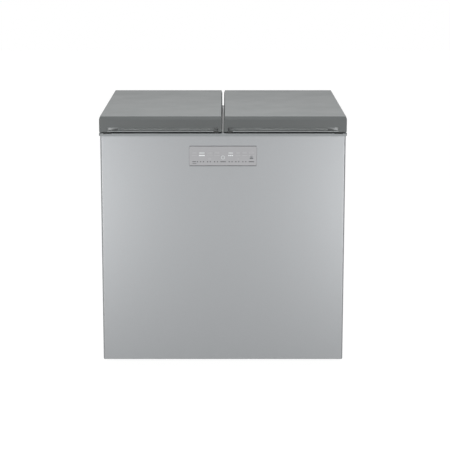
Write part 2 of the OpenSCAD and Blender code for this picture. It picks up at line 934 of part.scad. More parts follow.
// From the condenser to the drier, and from the drier to both evaporators
module liquid_line() {
    drier_top = drier_z + drier_h;
    color("peru") {
        pipe([condenser_outlet, [coil_x, rear_pass_y, coil_z], [0, rear_pass_y, coil_z],
              [0, rear_pass_y, drier_z]], tube_r, line_bend);
        pipe([[0, rear_pass_y, drier_top], [0, rear_pass_y, header_z], [0, inlet_y, header_z]],
             tube_r, line_bend);
        pipe([[-evaporator_in, inlet_y, riser_z], [-evaporator_in, inlet_y, header_z],
              [evaporator_in, inlet_y, header_z], [evaporator_in, inlet_y, riser_z]],
             tube_r, line_bend);
    }
}

// From both evaporators to the compressor
module suction_line() {
    drop_x = port_x + drop_reach;
    color("peru") {
        pipe([[evaporator_in, evaporator_end, riser_z], [evaporator_in, evaporator_end, header_z],
              [drop_x, evaporator_end, header_z], [drop_x, evaporator_end, port_z],
              suction_port], tube_r, line_bend);
        tube([-evaporator_in, evaporator_end, header_z], [-evaporator_in, evaporator_end, riser_z], tube_r);
    }
}

// From the compressor to the condenser, past the front of the fan
module discharge_line() {
    turn_x = port_x + turn_reach;
    color("peru") pipe([discharge_port, [turn_x, discharge_port.y, port_z],
                        [turn_x, front_pass_y, port_z], [coil_x, front_pass_y, port_z],
                        [coil_x, front_pass_y, coil_z], condenser_inlet], tube_r, line_bend);
}

// Control case on the bay's floor, open towards the side panel
module control_box() {
    low = [control_from, bay_mid_y - control_d / 2, base_top];
    high = [control_to, bay_mid_y + control_d / 2, base_top + control_h];
    wall = [control_t, control_t, control_t];
    boss_in = 16;
    color("#b8b9b6") {
        difference() {
            block(low, high);
            block(low + wall, [control_to + cut, high.y - control_t, high.z - control_t]);
        }
        for (y = [low.y + boss_in, high.y - boss_in], z = [low.z + boss_in, high.z - boss_in])
            rod_x(y, z, 4, control_from, control_from + control_t + control_boss);
    }
}

module control_board() {
    x = control_from + control_t + control_boss;
    face = x + board_t;
    transformer = [34, 40, 38];
    transformer_at = [22, 20];
    capacitor_r = 8;
    capacitor_l = 28;
    capacitor_at = [24, 26];
    capacitor_pitch = 20;
    relay = [15, 11, 22];
    relay_at = [30, 30];
    relay_pitch = 16;
    fin = [24, 3, 24];
    fin_at = [24, 34];
    fin_pitch = 7;
    margin = control_t + 3;
    low_y = bay_mid_y - control_d / 2 + margin;
    high_y = bay_mid_y + control_d / 2 - margin;
    low_z = base_top + margin;
    high_z = base_top + control_h - margin;
    color("#2f6b45") {
        block([x, low_y, low_z], [face, high_y, high_z]);
        translate([x, low_y + transformer_at.x, low_z + transformer_at.y])
            cube(transformer + [board_t, 0, 0]);
        for (i = [0 : 2])
            rod_x(high_y - capacitor_at.x - capacitor_pitch * i, low_z + capacitor_at.y, capacitor_r,
                  x, face + capacitor_l);
        for (i = [0 : 3])
            translate([x, high_y - relay_at.x - relay_pitch * i, high_z - relay_at.y])
                cube(relay + [board_t, 0, 0]);
        for (i = [0 : 4])
            translate([x, low_y + fin_at.x + fin_pitch * i, high_z - fin_at.y])
                cube(fin + [board_t, 0, 0]);
    }
}

// ---------------------------------------------------------------- control panel

module lens_outline(grow, r) {
    round_rect([-lens_w / 2 - grow, lens_z - grow], [lens_w / 2 + grow, lens_top + grow], r);
}

module housing_outline(r) {
    lens_outline(housing_rim, r);
}

// Tray behind the front panel: it holds the window and the board on two ledges
module display_housing() {
    lens_back = front_y - lens_proud + lens_t;
    rear = front_y + sheet_t + housing_d;
    color("#303336") difference() {
        along_y(front_y + sheet_t, rear) housing_outline(lens_r + housing_rim);
        along_y(front_y, lens_back) lens_outline(fit, lens_r + fit);
        along_y(front_y, board_y + board_t) lens_outline(-board_ledge, lens_r);
        along_y(front_y, rear - housing_t) lens_outline(-2 * board_ledge, lens_r);
    }
}

module display_lens() {
    color("#8f9496") along_y(front_y - lens_proud, front_y - lens_proud + lens_t)
        lens_outline(0, lens_r);
}

// Board with two blocks of lamps and a row of touch pads
module display_board() {
    pads = 8;
    pad_r = 5;
    pad_t = 3;
    pad_row = 18;
    pad_inset = 20;
    pad_pitch = (lens_w - 2 * pad_inset) / (pads - 1);
    lamp = [22, 4, 6];
    lamp_drop = 21;
    lamp_pitch = 9;
    lamp_x = [34 - lens_w / 2, lens_w / 2 - 75];
    color("#2f6b45") {
        along_y(board_y, board_y + board_t) lens_outline(-board_ledge - fit, lens_r);
        for (i = [0 : pads - 1])
            rod_y((i - (pads - 1) / 2) * pad_pitch, lens_z + pad_row, pad_r,
                  board_y - pad_t, board_y + board_t);
        for (x = lamp_x, row = [0, 1])
            translate([x, board_y - lamp.y, lens_top - lamp_drop - lamp_pitch * row])
                cube(lamp + [0, board_t, 0]);
    }
}

// ---------------------------------------------------------------- lids, right-hand

// Closed shape of a lid, drawn in from its outer faces, from low_z up
module lid_shape(inset, r, low_z) {
    top = lid_top - inset;
    shoulder = top - bevel_h;
    intersection() {
        slab([lid_in + inset, lid_front + inset], [lid_out - inset, lid_back - inset], r, low_z, top);
        along_y(lid_front + inset, lid_back - inset)
            bevelled(lid_in + inset, lid_out - inset, low_z, shoulder, top);
        along_x(lid_in + inset, lid_out - inset)
            bevelled(lid_front + inset, lid_back - inset, low_z, shoulder, top);
    }
}

module bevelled(low, high, base, shoulder, top) {
    polygon([[low, base], [high, base], [high, shoulder], [high - bevel_in, top],
             [low + bevel_in, top], [low, shoulder]]);
}

module lid_cover() {
    difference() {
        lid_shape(0, lid_r, lid_z);
        lid_shape(cover_t, lid_r - cover_t, lid_z - cut);
        block([notch_in, lid_front - cut, lid_z - cut],
              [notch_out, lid_front + cover_t + cut, lid_z + grip_h]);
    }
}

// Channel along the lid's lower front edge, with a ramp at the pocket's outer end
module handle_grip() {
    ceiling = lid_z + grip_h - fit;
    low = notch_in + fit + grip_wall;
    high = notch_out - fit - grip_wall;
    deep = lid_front + grip_depth;
    difference() {
        union() {
            slab([lid_in + cover_t + fit, lid_front + cover_t],
                 [lid_out - cover_t - fit, grip_back], lid_r, lid_z + fit, grip_top);
            block([notch_in + fit, lid_front + fit, lid_z + fit],
                  [notch_out - fit, grip_back - grip_wall, ceiling]);
        }
        translate([0, 0, lid_z + grip_lip]) linear_extrude(ceiling - lid_z - grip_lip + press)
            polygon([[low, lid_front - cut], [low, deep], [high - ramp_l, deep],
                     [high, lid_front + ramp_step], [high, lid_front - cut]]);
    }
}

// Outline of the plug that the pan reaches into the well with
module plug_outline(inset, r) {
    gap = plug_gap + inset;
    round_rect([well_in + gap, well_front + gap], [well_out - gap, well_back - gap], r);
}

module lid_pan() {
    plug_r = well_r - 4;
    difference() {
        union() {
            slab([lid_in + cover_t + fit, grip_back + fit],
                 [lid_out - cover_t - fit, lid_back - cover_t - fit], lid_r, pan_z, pan_top);
            translate([0, 0, deck_top - plug_h]) linear_extrude(pan_top - deck_top + plug_h)
                plug_outline(0, plug_r);
        }
        translate([0, 0, deck_top - plug_h + pan_t]) linear_extrude(pan_top - deck_top + plug_h)
            plug_outline(pan_t, plug_r - pan_t);
    }
}

module lid_foam() {
    difference() {
        union() {
            lid_shape(cover_t, lid_r, pan_top);
            translate([0, 0, deck_top - plug_h + pan_t])
                linear_extrude(pan_top - deck_top + plug_h) plug_outline(pan_t, well_r);
        }
        block([lid_in, lid_front, lid_z], [lid_out, grip_back, grip_top]);
    }
}

// Gasket: a base that clips to the pan and a narrower bulb that lands on the deck
module lid_gasket() {
    bulb_z = pan_z - 2.5;
    gasket_ring(gasket_in, gasket_in + gasket_w, bulb_z, pan_z);
    gasket_ring(gasket_in + 3, gasket_in + gasket_w - 2, deck_top + fit, pan_z);
}

// Outline of the well's mouth, grown outwards
module well_outline(grow) {
    round_rect([well_in - grow, well_front - grow], [well_out + grow, well_back + grow], well_r + grow);
}

module gasket_ring(inner, outer, low_z, high_z) {
    translate([0, 0, low_z]) linear_extrude(high_z - low_z) difference() {
        well_outline(outer);
        well_outline(inner);
    }
}

// Leaves: a neck from the knuckle under the lid's rear skirt, then a step up to the pan
module hinge_leaves() {
    step_back = lid_back - cover_t - 8;
    plate_front = well_back + gasket_in + gasket_w + 5;
    neck_top = leaf_z + leaf_t;
    difference() {
        for (h = hinges) {
            along_x(h + knuckle_from, h + knuckle_to) {
                translate([hinge_y, hinge_z]) circle(knuckle_r);
                translate([hinge_y - knuckle_r, hinge_z]) square([knuckle_r, neck_top - hinge_z]);
                translate([step_back - leaf_t, leaf_z]) square([hinge_y - step_back + leaf_t, leaf_t]);
                translate([step_back - leaf_t, leaf_z]) square([leaf_t, pan_z - leaf_z]);
            }
            block([h - leaf_w / 2, plate_front, pan_z - leaf_t], [h + leaf_w / 2, step_back, pan_z]);
        }
        rod_x(hinge_y, hinge_z, pin_r + running, hinges[0] + knuckle_from - cut,
              hinges[1] + knuckle_to + cut);
    }
}

module lid_cover_left() {
    color("#7d8082") left_side() lid_cover();
}

module lid_cover_right() {
    color("#7d8082") lid_cover();
}

module lid_pan_left() {
    color("whitesmoke") left_side() lid_pan();
}

module lid_pan_right() {
    color("whitesmoke") lid_pan();
}

module lid_foam_left() {
    color("khaki") left_side() lid_foam();
}

module lid_foam_right() {
    color("khaki") lid_foam();
}

module lid_gasket_left() {
    color("#3c3e40") left_side() lid_gasket();
}

module lid_gasket_right() {
    color("#3c3e40") lid_gasket();
}

module handle_grip_left() {
    color("#696c6e") left_side() handle_grip();
}

module handle_grip_right() {
    color("#696c6e") handle_grip();
}

module hinge_leaves_left() {
    color("silver") left_side() hinge_leaves();
}

module hinge_leaves_right() {
    color("silver") hinge_leaves();
}

// ---------------------------------------------------------------- hinges on the cabinet

module hinge_ear(from) {
    foot = hinge_plate_top - 40;
    along_x(from, from + ear_t) {
        translate([hinge_y, hinge_z]) circle(ear_r);
        polygon([[back_y, foot], [back_y, hinge_plate_top], [hinge_y - ear_r, hinge_plate_top],
                 [hinge_y - ear_r, hinge_z], [hinge_y + ear_r, hinge_z],
                 [hinge_y + ear_r, hinge_plate_top], [back_y + hinge_plate_t, foot]]);
    }
}

module hinge_bases() {
    color("silver") both_sides() difference() {
        for (h = hinges) {
            block([h - hinge_half, back_y, hinge_plate_top - hinge_plate_h],
                  [h + hinge_half, back_y + hinge_plate_t, hinge_plate_top]);
            hinge_ear(h - hinge_half);
            hinge_ear(h + hinge_half - ear_t);
        }
        rod_x(hinge_y, hinge_z, pin_r + press, 0, lid_out);
        screw_holes();
    }
}

module hinge_pins() {
    head = 2;
    color("silver") both_sides() for (h = hinges) {
        rod_x(hinge_y, hinge_z, pin_r, h - hinge_half - 1, h + hinge_half + head);
        rod_x(hinge_y, hinge_z, pin_r + 1.5, h + hinge_half, h + hinge_half + head);
    }
}

// Coil along X round a pin, as one swept tube
module coil(from, to, r, wire, turns) {
    steps = 12;
    sides = 6;
    last = turns * steps;
    points = [
        for (i = [0 : last], j = [0 : sides - 1])
            let (
                a = 360 * i / steps,
                b = 360 * j / sides,
                radius = r + wire * cos(b),
                x = from + wire + (to - from - 2 * wire) * i / last + wire * sin(b)
            )
            [x, radius * cos(a), radius * sin(a)]
    ];
    walls = [
        for (i = [0 : last - 1], j = [0 : sides - 1])
            let (
                k = (j + 1) % sides,
                p = i * sides + j,
                q = i * sides + k,
                s = p + sides,
                t = q + sides
            )
            each [[p, s, t], [p, t, q]]
    ];
    first_cap = [for (j = [1 : sides - 2]) [0, j, j + 1]];
    last_cap = [for (j = [1 : sides - 2]) [last * sides, last * sides + j + 1, last * sides + j]];
    polyhedron(points, concat(walls, first_cap, last_cap));
}

module hinge_springs() {
    color("silver") both_sides() for (h = hinges)
        translate([0, hinge_y, hinge_z])
            coil(h - hinge_half + ear_t + fit, h + knuckle_from - fit,
                 pin_r + spring_wire + fit, spring_wire, spring_turns);
}

// Covers over the hinges, open at the front and the top
module hinge_covers() {
    half = hinge_half + 4;
    low_z = hinge_plate_top - hinge_plate_h - 5;
    high_z = hinge_z + 2;
    inner = half - hinge_cover_t;
    color("#6f7274") both_sides() for (h = hinges) difference() {
        block([h - half, back_y, low_z], [h + half, back_y + hinge_cover_d, high_z]);
        block([h - inner, back_y - cut, low_z + hinge_cover_t],
              [h + inner, back_y + hinge_cover_d - hinge_cover_t, high_z + cut]);
        block([h - half - cut, back_y - cut, deck_z - fit],
              [h + half + cut, back_y + deck_tail + fit, high_z + cut]);
    }
}

// ---------------------------------------------------------------- stand

module roller_brackets() {
    inner = roller_w / 2 + roller_play;
    outer = inner + bracket_t;
    reach = roller_r + 4;
    color("silver") both_sides() difference() {
        union() {
            block([stand_x - outer, roller_y - reach, ground_gap - bracket_t],
                  [stand_x + outer, roller_y + reach, ground_gap]);
            for (x = [stand_x - outer, stand_x + inner])
                block([x, roller_y - axle_r - 4, roller_r - axle_r - 2],
                      [x + bracket_t, roller_y + axle_r + 4, ground_gap]);
        }
        rod_x(roller_y, roller_r, axle_r + press, stand_x - outer - cut, stand_x + outer + cut);
    }
}

module roller_axles() {
    half = roller_w / 2 + roller_play + bracket_t + 2;
    color("silver") both_sides()
        rod_x(roller_y, roller_r, axle_r, stand_x - half, stand_x + half);
}

// Roller with a shallow groove round its middle
module roller() {
    translate([stand_x - roller_w / 2, roller_y, roller_r]) rotate([0, 90, 0]) difference() {
        can(roller_r, roller_w, 1.5);
        translate([0, 0, -cut]) cylinder(r = axle_r + running, h = roller_w + 2 * cut);
    }
}

module roller_left() {
    color("#3b3d3f") left_side() roller();
}

module roller_right() {
    color("#3b3d3f") roller();
}

module foot_nuts() {
    color("silver") both_sides() translate([stand_x, foot_y, base_top]) difference() {
        cylinder(r = nut_r, h = nut_h, $fn = 6);
        translate([0, 0, -cut]) cylinder(r = stud_r + running, h = nut_h + 2 * cut);
    }
}

// Levelling foot: a pad on the floor, a hexagon for the spanner and a stud
module foot() {
    hex_top = foot_pad_h + 6;
    color("#3b3d3f") translate([stand_x, foot_y, 0]) {
        can(foot_r, foot_pad_h, 2);
        rod_z(0, 0, stud_r, foot_pad_h / 2, stud_top);
        translate([0, 0, foot_pad_h / 2]) cylinder(r = stud_r + 5, h = hex_top - foot_pad_h / 2, $fn = 6);
    }
}

module foot_left() {
    left_side() foot();
}

module foot_right() {
    foot();
}

// ---------------------------------------------------------------- storage boxes

// Places a child at every box, standing on its floor
module at_boxes() {
    for (side = [-1, 1], spot = side < 0 ? left_boxes : right_boxes)
        translate([
            side * well_mid,
            spot[0] == 0 ? well_front + box_gap + box_d / 2 : well_back - box_gap - box_d / 2,
            well_floor + spot[1] * box_h
        ]) children();
}

// Upright slab round the middle of a box
module box_slab(half, r, low_z, high_z) {
    slab(-half, half, r, low_z, high_z);
}

module storage_boxes() {
    color("gainsboro") at_boxes() difference() {
        union() {
            box_slab(body_half, box_r, 0, box_h - box_lid_t);
            box_slab(ledge_half, box_r + box_skirt_t, ledge_z - ledge_t, ledge_z);
        }
        box_slab(body_half - [box_t, box_t], box_r - box_t, box_t, box_h);
    }
}

module box_lids() {
    panel = 14;
    valve_r = 15;
    recess = 1.2;
    color("#8d959b") at_boxes() difference() {
        box_slab(skirt_half, box_r + box_skirt_t, box_h - box_skirt, box_h);
        box_slab(body_half + [fit, fit], box_r + fit, box_h - box_skirt - cut, box_h - box_lid_t);
        difference() {
            box_slab(skirt_half - [panel, panel], box_r, box_h - recess, box_h + cut);
            cylinder(r = valve_r, h = box_h + 2 * cut);
        }
    }
}

// Wings on both sides of each box, hooked under the body's ledge
module box_latches() {
    hook_z = ledge_z - ledge_t - fit;
    hook_t = 2.5;
    hook_in = 8;
    latch_end = 4;
    x = skirt_half.x;
    color("#5d666d") at_boxes() for (turn = [0, 180]) rotate(turn) {
        block([x, -latch_w / 2, hook_z - hook_t - latch_end], [x + latch_t, latch_w / 2, box_h - latch_end]);
        block([body_half.x + fit, hook_in - latch_w / 2, hook_z - hook_t],
              [x + latch_t, latch_w / 2 - hook_in, hook_z]);
    }
}

front_panel();
side_panel_left();
side_panel_right();
back_panel();
base_plate();
cabinet_foam_left();
cabinet_foam_right();
well_liner_left();
well_liner_right();
top_deck();
bay_liner();
rear_grille();
case_screws();
evaporators();
compressor();
compressor_grommets();
compressor_bolts();
relay_cover();
condenser_tube();
condenser_fins();
fan_frame();
fan_motor();
fan_rotor();
filter_drier();
liquid_line();
suction_line();
discharge_line();
control_box();
control_board();
cord_gland();
display_housing();
display_board();
display_lens();
well_sensors();
hinge_bases();
hinge_pins();
hinge_springs();
hinge_covers();
roller_brackets();
roller_axles();
roller_left();
roller_right();
foot_nuts();
foot_left();
foot_right();
storage_boxes();
box_lids();
box_latches();
lid_cover_left();
lid_cover_right();
lid_pan_left();
lid_pan_right();
lid_foam_left();
lid_foam_right();
lid_gasket_left();
lid_gasket_right();
handle_grip_left();
handle_grip_right();
hinge_leaves_left();
hinge_leaves_right();
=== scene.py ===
"""Visual model of a two-lid chest kimchi refrigerator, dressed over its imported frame.

Shapes are worked out in millimetres and written in metres, in the frame's own axes:
+X to the right, -Y to the front and +Z up.
"""

import logging
import math
from dataclasses import dataclass, replace
from enum import Enum
from typing import Any, Iterable, Sequence

import bmesh
import bpy
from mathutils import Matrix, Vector

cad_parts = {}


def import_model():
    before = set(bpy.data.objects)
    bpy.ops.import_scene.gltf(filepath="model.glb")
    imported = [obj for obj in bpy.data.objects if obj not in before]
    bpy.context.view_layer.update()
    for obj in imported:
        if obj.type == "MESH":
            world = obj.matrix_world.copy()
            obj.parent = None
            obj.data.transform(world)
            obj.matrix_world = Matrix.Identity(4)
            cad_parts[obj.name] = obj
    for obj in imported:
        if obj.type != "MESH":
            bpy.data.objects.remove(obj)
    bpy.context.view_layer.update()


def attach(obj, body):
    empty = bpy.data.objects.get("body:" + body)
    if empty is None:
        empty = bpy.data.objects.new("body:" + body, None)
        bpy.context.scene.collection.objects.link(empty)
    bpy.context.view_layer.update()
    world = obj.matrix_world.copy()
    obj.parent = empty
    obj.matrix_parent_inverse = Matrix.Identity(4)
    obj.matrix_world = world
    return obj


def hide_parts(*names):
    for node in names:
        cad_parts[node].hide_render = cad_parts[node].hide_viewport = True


LOG = logging.getLogger("kimchi_refrigerator")
MM = 0.001
METRE = 1000.0
# Points closer than this, in metres, are one.
MERGE = 2e-6
# Faces that meet at less than this, in degrees, are one.
COPLANAR = 0.4
# The least radius of a ring, so that its points stay apart.
LEAST = 0.01
FULL_TURN = 2 * math.pi
Point = tuple[float, float, float]
Flat = tuple[float, float]
Colour = tuple[float, float, float, float]
Mesh = bpy.types.Mesh
Node = bpy.types.Node
Object = bpy.types.Object
Socket = bpy.types.NodeSocket
Tree = bpy.types.NodeTree


class Along(Enum):
    """The axis that a flat outline is pushed along, as the places of (u, v, depth)."""

    X = (1, 2, 0)
    Y = (0, 2, 1)
    Z = (0, 1, 2)


class Side(Enum):
    """The left or right half of the cabinet, seen from the front."""

    LEFT = "left"
    RIGHT = "right"

    @property
    def sign(self) -> int:
        """The sign of X on this side."""
        return -1 if self is Side.LEFT else 1


def from_hex(code: str) -> Colour:
    """Turns an sRGB hex colour into linear RGBA, by the standard's curve.

    Args:
        code: Six hex digits after a hash sign.

    Returns:
        Linear red, green, blue and an alpha of 1.
    """
    out = []
    for start in (1, 3, 5):
        value = int(code[start:start + 2], 16) / 255
        out.append(value / 12.92 if value <= 0.04045 else ((value + 0.055) / 1.055) ** 2.4)
    return out[0], out[1], out[2], 1.0


def blank(kind: Any, name: str) -> Any:
    """Adds a material or a world with an empty node tree.

    Args:
        kind: Blender's collection of materials or of worlds.
        name: The new one's name.

    Returns:
        The material or world.
    """
    made = kind.new(name)
    made.use_nodes = True
    made.node_tree.nodes.clear()
    return made


def placed(name: str, data: Any) -> Object:
    """Adds an object to the scene.

    Args:
        name: Its name.
        data: Its mesh, lamp or camera.

    Returns:
        The object, at the origin.
    """
    made = bpy.data.objects.new(name, data)
    bpy.context.scene.collection.objects.link(made)
    return made


def add_node(tree: Tree, kind: str, inputs: dict[Any, Any] | None = None, **settings: Any) -> Node:
    """Adds one node with its settings, values and links.

    Args:
        tree: The shader or geometry tree.
        kind: The node's type name.
        inputs: Values or sockets by input name or index.
        settings: Properties of the node itself.

    Returns:
        The new node.
    """
    node = tree.nodes.new(kind)
    for key, value in settings.items():
        setattr(node, key, value)
    for key, value in (inputs or {}).items():
        if isinstance(value, Socket):
            tree.links.new(value, node.inputs[key])
        else:
            node.inputs[key].default_value = value
    return node


def maths(tree: Tree, operation: str, *values: Any) -> Socket:
    """Returns the result of a Math node on values or sockets."""
    return add_node(tree, "ShaderNodeMath", dict(enumerate(values)), operation=operation).outputs[0]


# ---------------------------------------------------------------- finishes


@dataclass(frozen=True)
class Ground:
    """A material's tree while its finish is worked in, with its main shader and coordinates."""

    tree: Tree
    shader: Node
    where: Socket

    def set(self, values: dict[str, Any]) -> None:
        """Sets inputs of the main shader to plain values."""
        for name, value in values.items():
            self.shader.inputs[name].default_value = value

    def feed(self, name: str, source: Socket) -> None:
        """Links a socket to an input of the main shader."""
        self.tree.links.new(source, self.shader.inputs[name])

    def noise(self, size: float, detail: float = 2.0, rough: float = 0.5,
              where: Socket | None = None) -> Socket:
        """Adds a noise.

        Args:
            size: How far apart its patches are, in millimetres.
            detail: How many finer layers it has.
            rough: How strong those are.
            where: Its coordinates, where they aren't the material's own.

        Returns:
            The noise, from 0 to 1.
        """
        return add_node(self.tree, "ShaderNodeTexNoise", {
            "Vector": self.where if where is None else where, "Scale": METRE / size,
            "Detail": detail, "Roughness": rough}).outputs[0]

    def cells(self, size: float, random: float = 1.0, **settings: Any) -> Node:
        """Returns a cell pattern whose cells have a size in millimetres."""
        return add_node(self.tree, "ShaderNodeTexVoronoi", {
            "Vector": self.where, "Scale": METRE / size, "Randomness": random}, **settings)

    def remap(self, value: Socket, given: Flat, wanted: Flat) -> Socket:
        """Returns a value with its given range stretched to the wanted one."""
        return add_node(self.tree, "ShaderNodeMapRange", {
            "Value": value, "From Min": given[0], "From Max": given[1], "To Min": wanted[0],
            "To Max": wanted[1]}).outputs[0]

    def paint(self, share: Socket, low: Colour, high: Colour) -> Socket:
        """Colours the surface between two colours.

        Args:
            share: How far the colour is from the low one to the high one.
            low: The colour at 0.
            high: The colour at 1.

        Returns:
            The colour between them.
        """
        tint = add_node(self.tree, "ShaderNodeMix", {0: share, 6: low, 7: high}, data_type="RGBA")
        self.feed("Base Color", tint.outputs[2])
        return tint.outputs[2]

    def bump(self, height: Socket, distance: float, strength: float = 1.0) -> None:
        """Raises the surface by a pattern whose full height is a distance in metres."""
        self.feed("Normal", add_node(self.tree, "ShaderNodeBump", {
            "Strength": strength, "Distance": distance, "Height": height}).outputs[0])


@dataclass(frozen=True)
class Finish:
    """A surface finish: what the material is and how it was made.

    The colour is an sRGB hex value. Pattern sizes are in millimetres.
    """

    name: str
    colour: str
    roughness: float
    metallic: float = 0.0
    ior: float = 1.5

    def material(self) -> bpy.types.Material:
        """Builds this finish's material the first time it is asked for.

        Returns:
            The material.
        """
        done = bpy.data.materials.get(self.name)
        if done is not None:
            return done
        made = blank(bpy.data.materials, self.name)
        tree = made.node_tree
        shader = add_node(tree, "ShaderNodeBsdfPrincipled", {
            "Base Color": from_hex(self.colour), "Roughness": self.roughness,
            "Metallic": self.metallic, "IOR": self.ior})
        self.work(Ground(tree, shader, add_node(tree, "ShaderNodeTexCoord").outputs["Object"]))
        add_node(tree, "ShaderNodeOutputMaterial", {"Surface": shader.outputs["BSDF"]})
        made.diffuse_color = from_hex(self.colour)
        return made

    def work(self, on: Ground) -> None:
        """Adds the finish's own pattern; the plain finish has none."""

    def shades(self, spread: float) -> tuple[Colour, Colour]:
        """Makes the colour darker and lighter.

        Args:
            spread: By how much, as a share of itself.

        Returns:
            The dark and the light colour.
        """
        red, green, blue, alpha = from_hex(self.colour)
        dark, light = 1 - spread, 1 + spread
        return (red * dark, green * dark, blue * dark, alpha), \
            (red * light, green * light, blue * light, alpha)

    def polish(self, on: Ground, value: Socket, given: Flat, less: float, more: float) -> None:
        """Varies the roughness from less to more than its own, as a value crosses a range."""
        on.feed("Roughness", on.remap(value, given, (self.roughness - less, self.roughness + more)))

    def blotch(self, on: Ground, size: float, spread: float, gloss: float) -> None:
        """Varies colour and roughness slowly over the surface.

        Args:
            on: The material's tree.
            size: How far apart the patches are, in millimetres.
            spread: How much lighter and darker the patches get, as a share.
            gloss: How much the roughness varies, up and down.
        """
        slow = on.noise(size, 3.0, 0.55)
        on.paint(slow, *self.shades(spread))
        if gloss > 0:
            self.polish(on, slow, (0.3, 0.7), gloss, gloss)


@dataclass(frozen=True)
class Moulded(Finish):
    """Injection-moulded plastic with a spark-eroded grain in its tool."""

    grain: float = 0.8
    depth: float = 0.01
    clear: float = 0.0

    def work(self, on: Ground) -> None:
        """Adds the grain, a slow change of tone, and see-through depth where it has it.

        Args:
            on: The material's tree.
        """
        self.blotch(on, 90.0, 0.03, 0.03)
        on.bump(on.noise(self.grain, 2.0, 0.6), self.depth * MM)
        on.set({"Transmission Weight": self.clear})


@dataclass(frozen=True)
class SheetSteel(Finish):
    """Rolled steel sheet: a hairline along one axis and the slow waves of a thin panel."""

    line: float = 0.9
    length: float = 60.0
    axis: Along = Along.Z
    wave: float = 0.05
    wave_length: float = 260.0
    spread: float = 0.03
    scratch: float = 0.004
    flake: float = 0.0
    flake_size: float = 1.4

    def work(self, on: Ground) -> None:
        """Adds hairlines, metal flake and the panel's slow waves.

        Args:
            on: The material's tree.
        """
        stretch = [METRE / self.line] * 3
        stretch[self.axis.value[2]] = METRE / self.length
        drawn = add_node(on.tree, "ShaderNodeMapping", {"Vector": on.where, "Scale": stretch})
        hair = on.noise(METRE, 3.0, 0.7, drawn.outputs[0])
        colour = on.paint(hair, *self.shades(self.spread))
        if self.flake > 0:
            spark = on.remap(on.cells(self.flake_size).outputs["Color"], (0.0, 1.0),
                             (1 - self.flake, 1 + self.flake))
            lit = add_node(on.tree, "ShaderNodeVectorMath", {0: colour, "Scale": spark},
                           operation="SCALE")
            on.feed("Base Color", lit.outputs[0])
        self.polish(on, hair, (0.25, 0.75), 0.03, 0.03)
        slow = maths(on.tree, "MULTIPLY", on.noise(self.wave_length, 1.0), self.wave * MM)
        on.bump(maths(on.tree, "MULTIPLY_ADD", hair, self.scratch * MM, slow), 1.0)


@dataclass(frozen=True)
class BareMetal(Finish):
    """Drawn or plated metal with a thin, uneven skin of oxide or zinc."""

    stain: str = "#6e4a35"
    patch: float = 14.0
    share: float = 0.35
    pit: float = 0.01
    pit_size: float = 1.5

    def work(self, on: Ground) -> None:
        """Adds the stained patches and fine pits.

        Args:
            on: The material's tree.
        """
        slow = on.noise(self.patch, 5.0, 0.65)
        on.paint(on.remap(slow, (0.45, 0.75), (0.0, self.share)), from_hex(self.colour),
                 from_hex(self.stain))
        self.polish(on, slow, (0.3, 0.75), 0.05, 0.15)
        on.bump(on.noise(self.pit_size), self.pit * MM)


@dataclass(frozen=True)
class Enamel(Finish):
    """Stoved black enamel with the orange peel of a dipped shell."""

    peel: float = 5.0
    depth: float = 0.05

    def work(self, on: Ground) -> None:
        """Adds the orange peel and a film of dust."""
        self.blotch(on, 40.0, 0.15, 0.08)
        on.bump(on.noise(self.peel, 1.0), self.depth * MM)


@dataclass(frozen=True)
class BlownFoam(Finish):
    """Blown polyurethane foam: small round cells under a torn skin."""

    cell: float = 2.4
    depth: float = 0.5

    def work(self, on: Ground) -> None:
        """Adds the cells, drawn a little coarse so that they show."""
        self.blotch(on, 35.0, 0.12, 0.0)
        on.bump(on.cells(self.cell).outputs["Distance"], self.depth * MM, 0.8)


@dataclass(frozen=True)
class Laminate(Finish):
    """Glass-fibre circuit board under green lacquer, with the copper tracks showing through."""

    track: str = "#3f7a4a"
    cell: float = 7.0
    tracks: float = 5.0
    depth: float = 0.03

    def work(self, on: Ground) -> None:
        """Adds the tracks as the edges of square cells.

        Args:
            on: The material's tree.
        """
        cells = on.cells(self.cell, 0.8, distance="MANHATTAN")
        step = maths(on.tree, "MULTIPLY", cells.outputs["Distance"], self.tracks)
        edge = on.remap(maths(on.tree, "FRACT", step), (0.55, 0.65), (0.0, 1.0))
        on.paint(edge, from_hex(self.colour), from_hex(self.track))
        on.bump(edge, self.depth * MM)


@dataclass(frozen=True)
class BackPrinted(Finish):
    """Clear acrylic with a silver-grey ink printed on its back: a soft gloss over satin."""

    def work(self, on: Ground) -> None:
        """Adds the ink's slow change of tone and the clear sheet over it."""
        self.blotch(on, 60.0, 0.02, 0.02)
        on.set({"Coat Weight": 0.2, "Coat Roughness": 0.3, "Coat IOR": self.ior})


@dataclass(frozen=True)
class Lit(Finish):
    """A diffusing light window that glows softly."""

    glow: float = 0.02

    def work(self, on: Ground) -> None:
        """Adds the glow."""
        self.blotch(on, 8.0, 0.03, 0.02)
        on.set({"Emission Color": from_hex(self.colour), "Emission Strength": self.glow})


# Pre-coated steel in silver: a satin lacquer with fine flake, so the panel shades softly.
PANEL_STEEL = SheetSteel("precoated silver steel", "#9b9d9f", 0.48, 0.6, line=0.8, length=90.0,
                         wave=0.06, spread=0.012, flake=0.02)
# Galvanised sheet: dull grey zinc, left bare on the back, the base and the brackets.
PLAIN_STEEL = SheetSteel("galvanised sheet", "#a9adaf", 0.42, 0.85, line=3.0, length=8.0,
                         wave=0.12, spread=0.06)
# Bright zinc plate on screws, pins and springs.
BRIGHT_STEEL = BareMetal("zinc-plated steel", "#c9cbcc", 0.28, 1.0, stain="#9a978c", patch=6.0)
# Polyurethane foam: buff, matt and open.
FOAM = BlownFoam("blown polyurethane foam", "#dbc99a", 0.95, ior=1.45)
